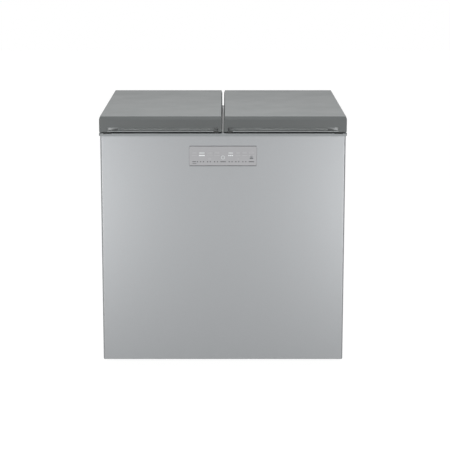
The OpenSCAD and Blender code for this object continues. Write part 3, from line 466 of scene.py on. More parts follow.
# Anodised aluminium well: pale, satin, drawn round its walls.
LINER = SheetSteel("anodised aluminium liner", "#cdd1d3", 0.34, 0.8, line=0.7, length=50.0,
                   axis=Along.X, wave=0.08, spread=0.02)
# Grained ABS of the deck round the wells, of its sealing bead and of the hinges' hoods.
DECK = Moulded("grained grey ABS", "#8c9091", 0.45, ior=1.53, grain=0.9, depth=0.025)
# Silver-grey painted ABS of the lids: satin, so the top picks up the room.
LID_COVER = Moulded("satin grey lid ABS", "#585b5b", 0.46, ior=1.46, depth=0.012)
# Moulded grip in the lid's notch; its back wall faces the floor and picks up its light. Painted light:
# its colour is lighter than the lid's cover, against the notch's shade.
HANDLE_GRIP = Moulded("grip ABS", "#787b7b", 0.45, depth=0.015)
# The grip's lip, painted lighter as a painted highlight along its edge.
LIP_HIGHLIGHT = Moulded("pale lip ABS", "#8a8e8e", 0.35)
# The grip's floor, the foot of its back wall and its ramp, painted pale as painted light against the
# shade in the notch.
GRIP_FLOOR_PAINTED_LIGHT = Moulded("rubbed grip floor ABS", "#cdd0d0", 0.36)
GRIP_WALL_PAINTED_LIGHT = Moulded("rubbed grip wall ABS", "#dcdfdf", 0.4)
GRIP_RAMP_PAINTED_LIGHT = Moulded("rubbed grip ramp ABS", "#8c8f8f", 0.36)
# The seam between the grip and the lid's cover, dark with shadow.
GRIP_SEAM = Moulded("grip seam ABS", "#5a5d5d", 0.5)
# High-impact polystyrene of the lid's inside: white, with a soft sheen.
LID_PAN = Moulded("white polystyrene", "#c6c9c8", 0.38, ior=1.59, grain=3.0, depth=0.02)
# Filler strip of the deck, between the lids, painted pale as painted light that brightens the deep,
# shaded gap.
PALE_STRIP = Moulded("pale filler strip", "#d0d2d1", 0.2)
# Soft PVC of gaskets, grommets and the lead's gland: dark grey and matt.
GASKET = Moulded("soft PVC gasket", "#3b3d3f", 0.62, ior=1.53, grain=1.5, depth=0.03)
# Black rubber of the lids' buffers and the deck's pads.
BUFFER = Moulded("black rubber", "#1c1d1d", 0.75, ior=1.52, depth=0.02)
# Soft copper pipe with a brown bloom.
COPPER = BareMetal("drawn copper", "#c98462", 0.3, 1.0, stain="#7a4a34", patch=12.0, share=0.5)
# Mill-finish aluminium fins.
FINS = BareMetal("mill aluminium fin", "#c7c9ca", 0.35, 1.0, stain="#a4a7a8", patch=9.0)
# Black stoved enamel of the compressor.
COMPRESSOR = Enamel("black stoved enamel", "#1d1e1f", 0.32)
# Glass-filled black plastic of the fan, the housings and the feet.
DARK_PLASTIC = Moulded("black glass-filled nylon", "#2b2d2e", 0.55, grain=1.4, depth=0.05)
# Flame-proof pale plastic of the control case.
CASE_PLASTIC = Moulded("pale polycarbonate case", "#bdbdb6", 0.5, ior=1.58, grain=1.6, depth=0.03)
# Circuit boards of the controls.
BOARD = Laminate("circuit laminate", "#1f5a38", 0.35)
# The control window.
WINDOW = BackPrinted("back-printed acrylic", "#9e9ea0", 0.5, 0.4, ior=1.49)
# Dark print on the window, and the thinner grey print of its lock sign.
DARK_INK = Moulded("dark screen ink", "#46494b", 0.5, grain=0.4, depth=0.004)
GREY_INK = Moulded("grey screen ink", "#66696b", 0.5, grain=0.4, depth=0.004)
# Light bars: lit, half-lit and unlit.
LAMP_ON = Lit("lit light bar", "#e2e5e6", 0.4)
LAMP_DIM = Lit("half-lit light bar", "#c2c5c6", 0.4)
LAMP_OFF = Lit("unlit light bar", "#a8a8aa", 0.4, glow=0.0)
# Painted shadow: dark strips that stand for the shade in the gaps above and below the window.
GAP_SHADOW = Moulded("grey gap strip", "#424546", 0.55, grain=0.5)
# Polypropylene of the food boxes: pale, waxy, a little see-through.
BOX_BODY = Moulded("pale polypropylene", "#ccd1d2", 0.36, ior=1.49, grain=2.5, depth=0.02,
                   clear=0.15)
# Coloured polypropylene of their lids and latches.
BOX_LID = Moulded("slate polypropylene", "#868f96", 0.4, ior=1.49, grain=1.6, depth=0.03)
BOX_LATCH = Moulded("dark polypropylene latch", "#606970", 0.42, ior=1.49, grain=1.6, depth=0.03)
# Soft white silicone of the boxes' air valves.
SILICONE = Moulded("white silicone", "#e6e7e5", 0.6, ior=1.41, grain=2.0)
# White nylon of the rollers.
ROLLER_NYLON = Moulded("white nylon roller", "#d8d8d2", 0.5, ior=1.53, grain=1.2, depth=0.03)


# ---------------------------------------------------------------- shapes


def circle(cu: float, cv: float, radius: float, count: int) -> list[Flat]:
    """Makes a regular polygon, anticlockwise, with its first point at the right."""
    turns = [FULL_TURN * at / count for at in range(count)]
    return [(cu + radius * math.cos(turn), cv + radius * math.sin(turn)) for turn in turns]


@dataclass(frozen=True)
class Plan:
    """A rounded rectangle: its middle across and up, half its sizes and its corner radius."""

    u: float
    v: float
    half_u: float
    half_v: float
    radius: float

    def moved(self, u: float = 0.0, v: float = 0.0) -> "Plan":
        """Returns a copy that is moved across and up."""
        return replace(self, u=self.u + u, v=self.v + v)

    def on(self, side: Side) -> "Plan":
        """Returns its copy on one side, where it is drawn for the right and u is X."""
        return replace(self, u=side.sign * self.u)

    def points(self, grow: float = 0.0, steps: int = 6) -> list[Flat]:
        """Makes its outline, anticlockwise.

        Args:
            grow: How far it is offset outwards.
            steps: Segments in each corner.

        Returns:
            Its points, the same number for any radius.
        """
        half_u, half_v = self.half_u + grow, self.half_v + grow
        radius = max(LEAST, min(self.radius + grow, half_u - LEAST / 2, half_v - LEAST / 2))
        points = []
        for corner, (way_u, way_v) in enumerate(((1, 1), (-1, 1), (-1, -1), (1, -1))):
            for step in range(steps + 1):
                turn = math.radians(90 * corner + 90 * step / steps)
                points.append((self.u + way_u * (half_u - radius) + radius * math.cos(turn),
                               self.v + way_v * (half_v - radius) + radius * math.sin(turn)))
        return points


@dataclass(frozen=True)
class Slab:
    """A rounded slab with softened edges at both faces.

    It has an outline, the depths of its faces, the radius of its edges, the axis of its depth,
    and the number of segments across an edge and in each corner.
    """

    plan: Plan
    low: float
    high: float
    edge: float = 0.5
    along: Along = Along.Z
    steps: int = 3
    corner: int = 6

    def moved(self, u: float = 0.0, v: float = 0.0) -> "Slab":
        """Returns a copy that is moved across and up."""
        return replace(self, plan=self.plan.moved(u, v))

    def on(self, side: Side) -> "Slab":
        """Makes its copy on one side, where it is drawn for the right.

        Args:
            side: That side.

        Returns:
            The copy; on the left it is mirrored in X.
        """
        if self.along is not Along.X:
            return replace(self, plan=self.plan.on(side))
        low, high = sorted((side.sign * self.low, side.sign * self.high))
        return replace(self, low=low, high=high)


def in_metres(points: Iterable[Point]) -> list[Point]:
    """Turns points in millimetres into points in metres."""
    return [(x * MM, y * MM, z * MM) for x, y, z in points]


class Shape:
    """Collects faces in millimetres and turns them into one object in metres."""

    def __init__(self, name: str) -> None:
        """Starts an empty shape.

        Args:
            name: The name that its object will have.
        """
        self.name = name
        self.points: list[Point] = []
        self.faces: list[tuple[int, ...]] = []

    def ring(self, flat: Iterable[Flat], depth: float, along: Along = Along.Z) -> list[int]:
        """Adds one ring of points.

        Args:
            flat: Its outline.
            depth: Where it lies along its axis.
            along: That axis.

        Returns:
            The points' numbers.
        """
        first = len(self.points)
        for u, v in flat:
            place = dict(zip(along.value, (u, v, depth)))
            self.points.append((place[0], place[1], place[2]))
        return list(range(first, len(self.points)))

    def skin(self, rings: Sequence[Sequence[int]], loop: bool = False) -> None:
        """Joins rings with the same number of points by quads.

        Args:
            rings: The rings, in order.
            loop: Whether the last ring joins the first; otherwise both ends are closed.
        """
        pairs = list(zip(rings, rings[1:]))
        if loop:
            pairs.append((rings[-1], rings[0]))
        for low, high in pairs:
            count = len(low)
            for at in range(count):
                after = (at + 1) % count
                self.faces.append((low[at], low[after], high[after], high[at]))
        if not loop:
            self.faces.append(tuple(reversed(rings[0])))
            self.faces.append(tuple(rings[-1]))

    def slab(self, slab: Slab) -> None:
        """Adds a slab, as rings from its low face to its high one.

        Args:
            slab: The slab.
        """
        turns = [math.pi / 2 * at / slab.steps for at in range(slab.steps + 1)]
        rings = []
        for face, way, order in ((slab.low, 1, turns), (slab.high, -1, reversed(turns))):
            for turn in order:
                flat = slab.plan.points(-slab.edge * (1 - math.sin(turn)), slab.corner)
                rings.append(self.ring(flat, face + way * slab.edge * (1 - math.cos(turn)),
                                       slab.along))
        self.skin(rings)

    def sleeve(self, plan: Plan, profile: Sequence[Flat], along: Along = Along.Z,
               corner: int = 6) -> None:
        """Sweeps a closed profile round a rounded rectangle.

        Args:
            plan: The rectangle.
            profile: The profile's points, as offset outwards and depth.
            along: The axis of the depth.
            corner: Segments in each corner.
        """
        self.skin([self.ring(plan.points(out, corner), depth, along) for out, depth in profile],
                  loop=True)

    def turned(self, cu: float, cv: float, profile: Sequence[Flat], along: Along = Along.Z,
               segments: int = 32) -> None:
        """Turns a profile about an axis.

        Args:
            cu: Where the axis is across.
            cv: Where it is up.
            profile: The profile's points, as radius and depth, from the axis back to it.
            along: The axis.
            segments: Points round it.
        """
        self.skin([self.ring(circle(cu, cv, max(radius, LEAST), segments), depth, along)
                   for radius, depth in profile])

    def prism(self, flat: Sequence[Flat], low: float, high: float, along: Along = Along.Z) -> None:
        """Pushes a flat outline from one depth to another."""
        self.skin([self.ring(flat, low, along), self.ring(flat, high, along)])

    def mesh(self) -> Mesh:
        """Merges the points that meet and turns the faces outwards.

        Returns:
            The mesh, in metres.
        """
        made = bpy.data.meshes.new(self.name)
        made.from_pydata(in_metres(self.points), [], self.faces)
        work = bmesh.new()
        work.from_mesh(made)
        bmesh.ops.remove_doubles(work, verts=work.verts, dist=MERGE)
        bmesh.ops.recalc_face_normals(work, faces=work.faces)
        work.to_mesh(made)
        work.free()
        return made

    def object(self, finish: Finish, smooth: float = 40.0) -> Object:
        """Returns the shape as a shaded object in the scene."""
        return finished(self.name, self.mesh(), (finish,), smooth)


def finished(name: str, mesh: Mesh, finishes: Sequence[Finish],
             smooth: float = 40.0) -> Object:
    """Puts a mesh in the scene with smooth shading, crisp edges and its materials.

    Args:
        name: The object's name.
        mesh: Its mesh, in metres.
        finishes: One finish for each material slot.
        smooth: Edges sharper than this many degrees stay crisp.

    Returns:
        The object, at the origin.
    """
    mesh.name = name
    made = placed(name, mesh)
    mesh.materials.clear()
    for finish in finishes:
        mesh.materials.append(finish.material())
    for face in mesh.polygons:
        face.use_smooth = True
    mesh.set_sharp_from_angle(angle=math.radians(smooth))
    made.modifiers.new("even shading", "WEIGHTED_NORMAL").keep_sharp = True
    return made


def settled(made: Object) -> Mesh:
    """Returns an object's mesh with its modifiers worked in."""
    bpy.context.view_layer.update()
    return bpy.data.meshes.new_from_object(
        made.evaluated_get(bpy.context.evaluated_depsgraph_get()))


def discard(*objects: Object) -> None:
    """Removes helper objects from the scene."""
    for made in objects:
        bpy.data.objects.remove(made, do_unlink=True)


def cut(whole: Shape, tool: Shape) -> Shape:
    """Takes one shape's volume away from another.

    Args:
        whole: The shape that is cut.
        tool: The shape that cuts; its own parts may run into each other.

    Returns:
        What is left, under the first shape's name.
    """
    made, cutter = placed(whole.name, whole.mesh()), placed(tool.name, tool.mesh())
    work = made.modifiers.new("cut", "BOOLEAN")
    work.operation = "DIFFERENCE"
    work.solver = "EXACT"
    work.use_self = True
    work.object = cutter
    mesh = settled(made)
    discard(made, cutter)
    left = Shape(whole.name)
    left.points = [tuple(point.co / MM) for point in mesh.vertices]
    left.faces = [tuple(face.vertices) for face in mesh.polygons]
    return left


def softened(node: str, name: str, finishes: Sequence[Finish], width: float, steps: int = 2,
             angle: float = 35.0) -> Object:
    """Makes a piece with rounded edges from a copy of a CAD node's merged mesh.

    Args:
        node: The CAD node it stands for.
        name: The new object's name.
        finishes: Its materials.
        width: How wide the rounding is, in millimetres.
        steps: Segments across the rounding.
        angle: Edges sharper than this many degrees are rounded.

    Returns:
        The piece, which replaces the node.
    """
    mesh = bpy.data.objects[node].data.copy()
    for layer in ("custom_normal", "sharp_edge", "sharp_face"):
        found = mesh.attributes.get(layer)
        if found is not None:
            mesh.attributes.remove(found)
    work = bmesh.new()
    work.from_mesh(mesh)
    bmesh.ops.remove_doubles(work, verts=work.verts, dist=MERGE)
    bmesh.ops.dissolve_limit(work, angle_limit=math.radians(COPLANAR), verts=work.verts,
                             edges=work.edges)
    work.to_mesh(mesh)
    work.free()
    made = placed(name, mesh)
    bevel = made.modifiers.new("edges", "BEVEL")
    bevel.width = width * MM
    bevel.segments = steps
    bevel.limit_method = "ANGLE"
    bevel.angle_limit = math.radians(angle)
    bevel.use_clamp_overlap = True
    result = settled(made)
    discard(made)
    piece = finished(name, result, finishes)
    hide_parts(node)
    return piece


# ---------------------------------------------------------------- repeats


class Repeat:
    """A Geometry Nodes tree that sets one source piece on a lattice or on given points."""

    def __init__(self, name: str, lattice: bool) -> None:
        """Builds the tree.

        Args:
            name: The tree's name.
            lattice: Whether it makes its own rows and columns; otherwise it uses the
                points of the mesh that it is put on.
        """
        tree = self.tree = bpy.data.node_groups.new(name, "GeometryNodeTree")
        inputs = {"Geometry": "Geometry", "Source piece": "Object", "Finish": "Material",
                  "Size": "Float", "Width": "Float", "Height": "Float", "Columns": "Int",
                  "Rows": "Int", "Middle": "Vector"}
        for label, kind in inputs.items():
            tree.interface.new_socket(label, in_out="INPUT", socket_type=f"NodeSocket{kind}")
        tree.interface.new_socket("Geometry", in_out="OUTPUT", socket_type="NodeSocketGeometry")
        given = add_node(tree, "NodeGroupInput").outputs
        seeds = given["Geometry"]
        if lattice:
            grid = add_node(tree, "GeometryNodeMeshGrid", {
                "Size X": given["Width"], "Size Y": given["Height"],
                "Vertices X": given["Columns"], "Vertices Y": given["Rows"]})
            seeds = add_node(tree, "GeometryNodeTransform", {
                "Geometry": grid.outputs["Mesh"], "Translation": given["Middle"]}).outputs[0]
        source = add_node(tree, "GeometryNodeObjectInfo", {"Object": given["Source piece"]},
                          transform_space="ORIGINAL")
        laid = add_node(tree, "GeometryNodeInstanceOnPoints", {
            "Points": seeds, "Instance": source.outputs["Geometry"], "Scale": given["Size"]})
        solid = add_node(tree, "GeometryNodeRealizeInstances", {"Geometry": laid.outputs[0]})
        dressed = add_node(tree, "GeometryNodeSetMaterial", {
            "Geometry": solid.outputs[0], "Material": given["Finish"]})
        add_node(tree, "NodeGroupOutput", {"Geometry": dressed.outputs[0]})

    def run(self, name: str, source: Shape, finish: Finish, seeds: Iterable[Point] = (),
            **values: Any) -> Object:
        """Repeats a piece and returns the result as one plain object.

        Args:
            name: The new object's name.
            source: The piece, drawn about the origin in millimetres.
            finish: Its finish.
            seeds: Where it goes, in millimetres, where the tree makes no lattice.
            values: Further inputs of the tree, in metres.

        Returns:
            The object, with plain mesh and no modifier but its shading.
        """
        pattern = placed(f"{name}_source", source.mesh())
        start = bpy.data.meshes.new(f"{name}_seeds")
        start.from_pydata(in_metres(seeds), [], [])
        host = placed(f"{name}_host", start)
        work = host.modifiers.new("repeat", "NODES")
        work.node_group = self.tree
        wanted = {"Source piece": pattern, "Finish": finish.material(), "Size": 1.0,
                  "Width": 0.0, "Height": 0.0, "Columns": 1, "Rows": 1} | values
        for item in self.tree.interface.items_tree:
            if item.in_out == "INPUT" and item.name in wanted:
                work[item.identifier] = wanted[item.name]
        mesh = settled(host)
        discard(host, pattern)
        return finished(name, mesh, (finish,))


# ---------------------------------------------------------------- assemblies


@dataclass
class Assembly:
    """A group of pieces that ride on one body of the frame."""

    body: str = "cabinet"

    def keep(self, piece: Object, slot: str, body: str = "", instead: str = "") -> None:
        """Lets a piece ride on its body and reports it.

        Args:
            piece: The finished piece.
            slot: The material slot of the part that it belongs to; not used.
            body: Its body, where that isn't the assembly's own.
            instead: The CAD node that it replaces, if it hasn't yet.
        """
        if instead:
            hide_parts(instead)
        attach(piece, body or self.body)
        LOG.info("piece %s: %d faces on %s", piece.name, len(piece.data.polygons), body or self.body)

    def soften(self, node: str, name: str, finish: Finish, slot: str, width: float,
               steps: int = 2, angle: float = 35.0) -> None:
        """Keeps a softened piece of one finish in place of its CAD node."""
        self.keep(softened(node, name, (finish,), width, steps, angle), slot)

    def slabs(self, name: str, finish: Finish, slot: str, slabs: Iterable[Slab],
              instead: str = "") -> None:
        """Keeps a piece that is made of slabs.

        Args:
            name: Its name.
            finish: Its finish.
            slot: The material slot of the part that it belongs to.
            slabs: Its slabs.
            instead: The CAD node that it replaces, if any.
        """
        shape = Shape(name)
        for slab in slabs:
            shape.slab(slab)
        self.keep(shape.object(finish), slot, instead=instead)

    def dress(self, finish: Finish, *nodes: str) -> None:
        """Gives CAD nodes that stay in view their material.

        Args:
            finish: Their finish.
            nodes: Their names.
        """
        for node in nodes:
            for place in bpy.data.objects[node].material_slots:
                place.material = finish.material()
            LOG.info("node %s dressed as %s", node, finish.name)


@dataclass
class Casing(Assembly):
    """The folded steel outside: front, sides, back, base and its screws."""

    back_y: float = 277.0
    beads: int = 5
    bead_r: float = 6.0
    bead_h: float = 250.0
    bead_z: float = 420.0
    bead_span: float = 400.0
    bead_profile: tuple[Flat, ...] = ((0.0, -0.4), (0.6, 0.3), (1.8, 1.0), (3.4, 1.45), (5.4, 1.6))
    screw_x: float = 299.5
    side_screws: tuple[float, ...] = (240.0, 430.75, 556.5, 34.2, 207.0)
    middle_screws: Flat = (34.2, 207.0)
    hinge_x: Flat = (72.125, 262.125)
    hinge_t: float = 2.5
    hinge_screw_x: float = 20.0
    hinge_screws: Flat = (633.0, 605.0)
    screw_profile: tuple[Flat, ...] = ((0.0, -9.0), (0.7, -8.4), (1.6, -6.8), (1.6, 0.0), (4.0, 0.0),
                                       (4.0, 0.5), (3.75, 1.15), (3.1, 1.65), (2.1, 1.92), (0.0, 2.0))
    recess: Flat = (0.42, 1.9)
    recess_low: float = 0.7
    recess_high: float = 2.6

    def build(self, spread: Repeat, lattice: Repeat) -> None:
        """Makes the panels, the pressed beads and the screws.

        Args:
            spread: The tree that repeats a piece on points.
            lattice: The tree that repeats a piece on a lattice.
        """
        self.soften("front_panel", "front_panel_sheet", PANEL_STEEL, "panel_steel", 0.45)
        for side in Side:
            self.soften(f"side_panel_{side.value}", f"side_sheet_{side.value}", PANEL_STEEL,
                        "panel_steel", 0.4)
        self.soften("back_panel", "back_sheet", PLAIN_STEEL, "plain_steel", 0.4)
        self.soften("base_plate", "base_tray", PLAIN_STEEL, "plain_steel", 0.4)
        self.dress(PLAIN_STEEL, "bay_liner")
        bead = Shape("bead")
        plan = Plan(0, 0, self.bead_r, self.bead_h / 2, self.bead_r)
        bead.skin([bead.ring(plan.points(-inset, 5), rise, Along.Y)
                   for inset, rise in self.bead_profile])
        self.keep(lattice.run("back_beads", bead, PLAIN_STEEL, Columns=self.beads,
                              Width=self.bead_span * MM,
                              Middle=(0.0, self.back_y * MM, self.bead_z * MM)), "plain_steel")
        heads = [(sign * self.screw_x, self.back_y, z) for sign in (-1, 1) for z in self.side_screws]
        heads += [(0.0, self.back_y, z) for z in self.middle_screws]
        heads += [(sign * (x + way * self.hinge_screw_x), self.back_y + self.hinge_t, z)
                  for sign in (-1, 1) for x in self.hinge_x for way in (-1, 1)
                  for z in self.hinge_screws]
        self.keep(spread.run("case_screw_heads", self.screw(), BRIGHT_STEEL, heads),
                  "bright_steel", instead="case_screws")

    def screw(self) -> Shape:
        """Makes a pan-head screw with a cross recess that narrows inwards.

        Returns:
            The screw, along +Y.
        """
        whole, tool = Shape("screw"), Shape("recess")
        whole.turned(0, 0, self.screw_profile, Along.Y, 24)
        for wide, tall in (self.recess, self.recess[::-1]):
            foot, mouth = Plan(0, 0, wide * 0.55, tall * 0.45, 0.1), Plan(0, 0, wide, tall, 0.12)
            tool.skin([tool.ring(foot.points(steps=1), self.recess_low, Along.Y),
                       tool.ring(mouth.points(steps=1), self.recess_high, Along.Y)])
        return cut(whole, tool)


@dataclass
class Wells(Assembly):
    """The two lined wells, their sensors and the deck round them."""

    strip: Slab = Slab(Plan(0, -12, 1.7, 290, 1.5), 653.6, 654.7, 0.4, Along.Z, 2, 4)
    # The sealing bead between the deck and the top of the outer panels.
    front_seal: Slab = Slab(Plan(0, 646.75, 328.9, 0.5, 0.3), -303.0, -302.4, 0.1, Along.Y, 1, 2)
    side_seal: Slab = Slab(Plan(-13, 646.75, 289.4, 0.5, 0.3), 328.9, 329.5, 0.1, Along.X, 1, 2)
    # The rubber pads wrap over the deck's front corners.
    pads: tuple[Slab, ...] = (
        Slab(Plan(309.5, -298.0, 11.5, 5.9, 1.5), 653.6, 657.2, 0.7, Along.Z, 3, 5),
        Slab(Plan(309.5, 653.8, 11.5, 1.2, 0.9), -303.95, -302.4, 0.3, Along.Y, 2, 4))
    # A slotted guard covers the sensors in the back wall of each well.
    guard: Slab = Slab(Plan(153.5, 559, 21, 34, 5), 222.5, 225.6, 1.2, Along.Y)
    slot: Slab = Slab(Plan(153.5, 541, 13, 1.6, 1.6), 221.9, 222.8, 0.4, Along.Y, 2, 4)
    slots: int = 5
    slot_pitch: float = 9.0

    def build(self) -> None:
        """Makes liners, deck and sensors."""
        for side in Side:
            self.soften(f"well_liner_{side.value}", f"well_{side.value}", LINER, "liner", 0.6,
                        angle=50.0)
            self.dress(FOAM, f"cabinet_foam_{side.value}")
        self.soften("top_deck", "deck_frame", DECK, "deck", 1.1, 3)
        self.dress(COPPER, "evaporators")
        # The centre strip is painted pale as painted light in the shaded gap between the lids.
        self.slabs("deck_centre_strip", PALE_STRIP, "deck", [self.strip])
        self.slabs("deck_seal", DECK, "deck",
                   [self.front_seal] + [self.side_seal.on(side) for side in Side])
        self.slabs("deck_pads", BUFFER, "gasket", [pad.on(side) for side in Side for pad in self.pads])
        guard = [self.guard] + [self.slot.moved(v=self.slot_pitch * row) for row in range(self.slots)]
        self.slabs("sensor_guards", DARK_PLASTIC, "dark_plastic",
                   [slab.on(side) for side in Side for slab in guard], instead="well_sensors")


@dataclass
class Lid(Assembly):
    """One hinged lid: cover, grip, inner pan, gasket and hinge leaves."""

    side: Side = Side.RIGHT
    rim_y: float = -304.4
    # The lip, painted pale as a painted highlight; the foot of the grip's back wall, painted pale as
    # painted light where the lip shades it; and the seam over the grip, dark with painted shadow.
    lip: Slab = Slab(Plan(167.95, 659.4, 141.95, 1.0, 0.9), -304.95, -304.2, 0.2, Along.Y, 2, 4)
    band: Slab = Slab(Plan(160.9, 662.6, 145.0, 2.1, 1.0), -287.3, -286.8, 0.2, Along.Y, 1, 3)
    seam: Slab = Slab(Plan(160.9, 670.7, 148.0, 0.4, 0.3), -304.95, -304.0, 0.15, Along.Y, 1, 3)
    # The ribbed rubber buffer under the inner front corner.
    buffer: Slab = Slab(Plan(18.6, -299.2, 6.9, 5.7, 1.2), 654.6, 660.4, 0.6, Along.Z, 2, 4)
    rib: Slab = Slab(Plan(14.6, -299.2, 0.6, 4.6, 0.6), 654.2, 655.2, 0.2, Along.Z, 1, 3)
    ribs: int = 3
    rib_pitch: float = 4.0
    emboss: Plan = Plan(153.5, -15.0, 100, 212, 18)
    emboss_profile: tuple[Flat, ...] = ((0, 639.4), (-2.0, 638.5), (-4.5, 638.1), (-12.0, 638.1),
                                        (-14.5, 638.5), (-16.5, 639.4), (-8.0, 639.8))
    gasket: Plan = Plan(153.5, -15.0, 127.5, 240, 20)
    # A dart, two folded webs and the bulb that seals.
    gasket_profile: tuple[Flat, ...] = (
        (2.4, 660.9), (2.1, 660.2), (2.1, 659.4), (2.6, 658.7), (4.2, 658.6), (5.2, 658.2),
        (4.6, 657.4), (5.4, 656.6), (4.9, 655.8), (5.3, 654.9), (6.4, 654.4), (8.2, 654.32),
        (9.5, 654.55), (10.8, 654.32), (12.6, 654.4), (13.7, 654.9), (14.1, 655.8), (13.6, 656.6),
        (14.4, 657.4), (13.8, 658.2), (14.6, 658.6), (15.6, 658.7), (15.9, 659.4), (15.9, 660.2),
        (15.6, 660.9))

    def build(self) -> None:
        """Makes every piece of this lid."""
        tag = self.side.value
        self.soften(f"lid_cover_{tag}", f"lid_shell_{tag}", LID_COVER, "lid_cover", 0.9, 3, 10.0)
        self.keep(self.grip(), "handle_grip")
        self.soften(f"lid_pan_{tag}", f"pan_{tag}", LID_PAN, "lid_pan", 0.8, 3)
        self.soften(f"hinge_leaves_{tag}", f"leaves_{tag}", PLAIN_STEEL, "plain_steel", 0.4)
        self.dress(FOAM, f"lid_foam_{tag}")
        # The lip is painted lighter as a painted highlight, the foot of the back wall pale as painted
        # light, and the seam dark as painted shadow.
        for name, finish, bar in (("lip", LIP_HIGHLIGHT, self.lip), ("band", GRIP_WALL_PAINTED_LIGHT, self.band),
                                  ("seam", GRIP_SEAM, self.seam)):
            self.slabs(f"grip_{name}_{tag}", finish, "handle_grip", [bar.on(self.side)])
        block = [self.buffer] + [self.rib.moved(self.rib_pitch * at) for at in range(self.ribs)]
        self.slabs(f"lid_buffer_{tag}", BUFFER, "gasket", [slab.on(self.side) for slab in block])
        frame = Shape(f"pan_emboss_{tag}")
        frame.sleeve(self.emboss.on(self.side), self.emboss_profile)
        self.keep(frame.object(LID_PAN), "lid_pan")
        ring = Shape(f"gasket_{tag}")
        ring.sleeve(self.gasket.on(self.side), self.gasket_profile, corner=10)
        self.keep(ring.object(GASKET, smooth=55.0), "gasket", instead=f"lid_gasket_{tag}")

    def grip(self) -> Object:
        """Makes the grip, with its floor and ramp painted pale as painted light against the notch's
        shade, and its rim like the lid.

        Returns:
            The grip, in place of its CAD node.
        """
        finishes = (HANDLE_GRIP, GRIP_FLOOR_PAINTED_LIGHT, GRIP_RAMP_PAINTED_LIGHT, LID_COVER)
        piece = softened(f"handle_grip_{self.side.value}", f"grip_{self.side.value}", finishes, 0.4)
        # Faces that look up and the ramp's faces take the pale finishes as painted light; the rim
        # takes the cover's colour.
        for face in piece.data.polygons:
            if face.center.y < self.rim_y * MM:
                face.material_index = finishes.index(LID_COVER)
            elif face.normal.z > 0.6:
                face.material_index = finishes.index(GRIP_FLOOR_PAINTED_LIGHT)
            elif abs(face.normal.x) > 0.2 and face.normal.y < -0.3:
                face.material_index = finishes.index(GRIP_RAMP_PAINTED_LIGHT)
        return piece


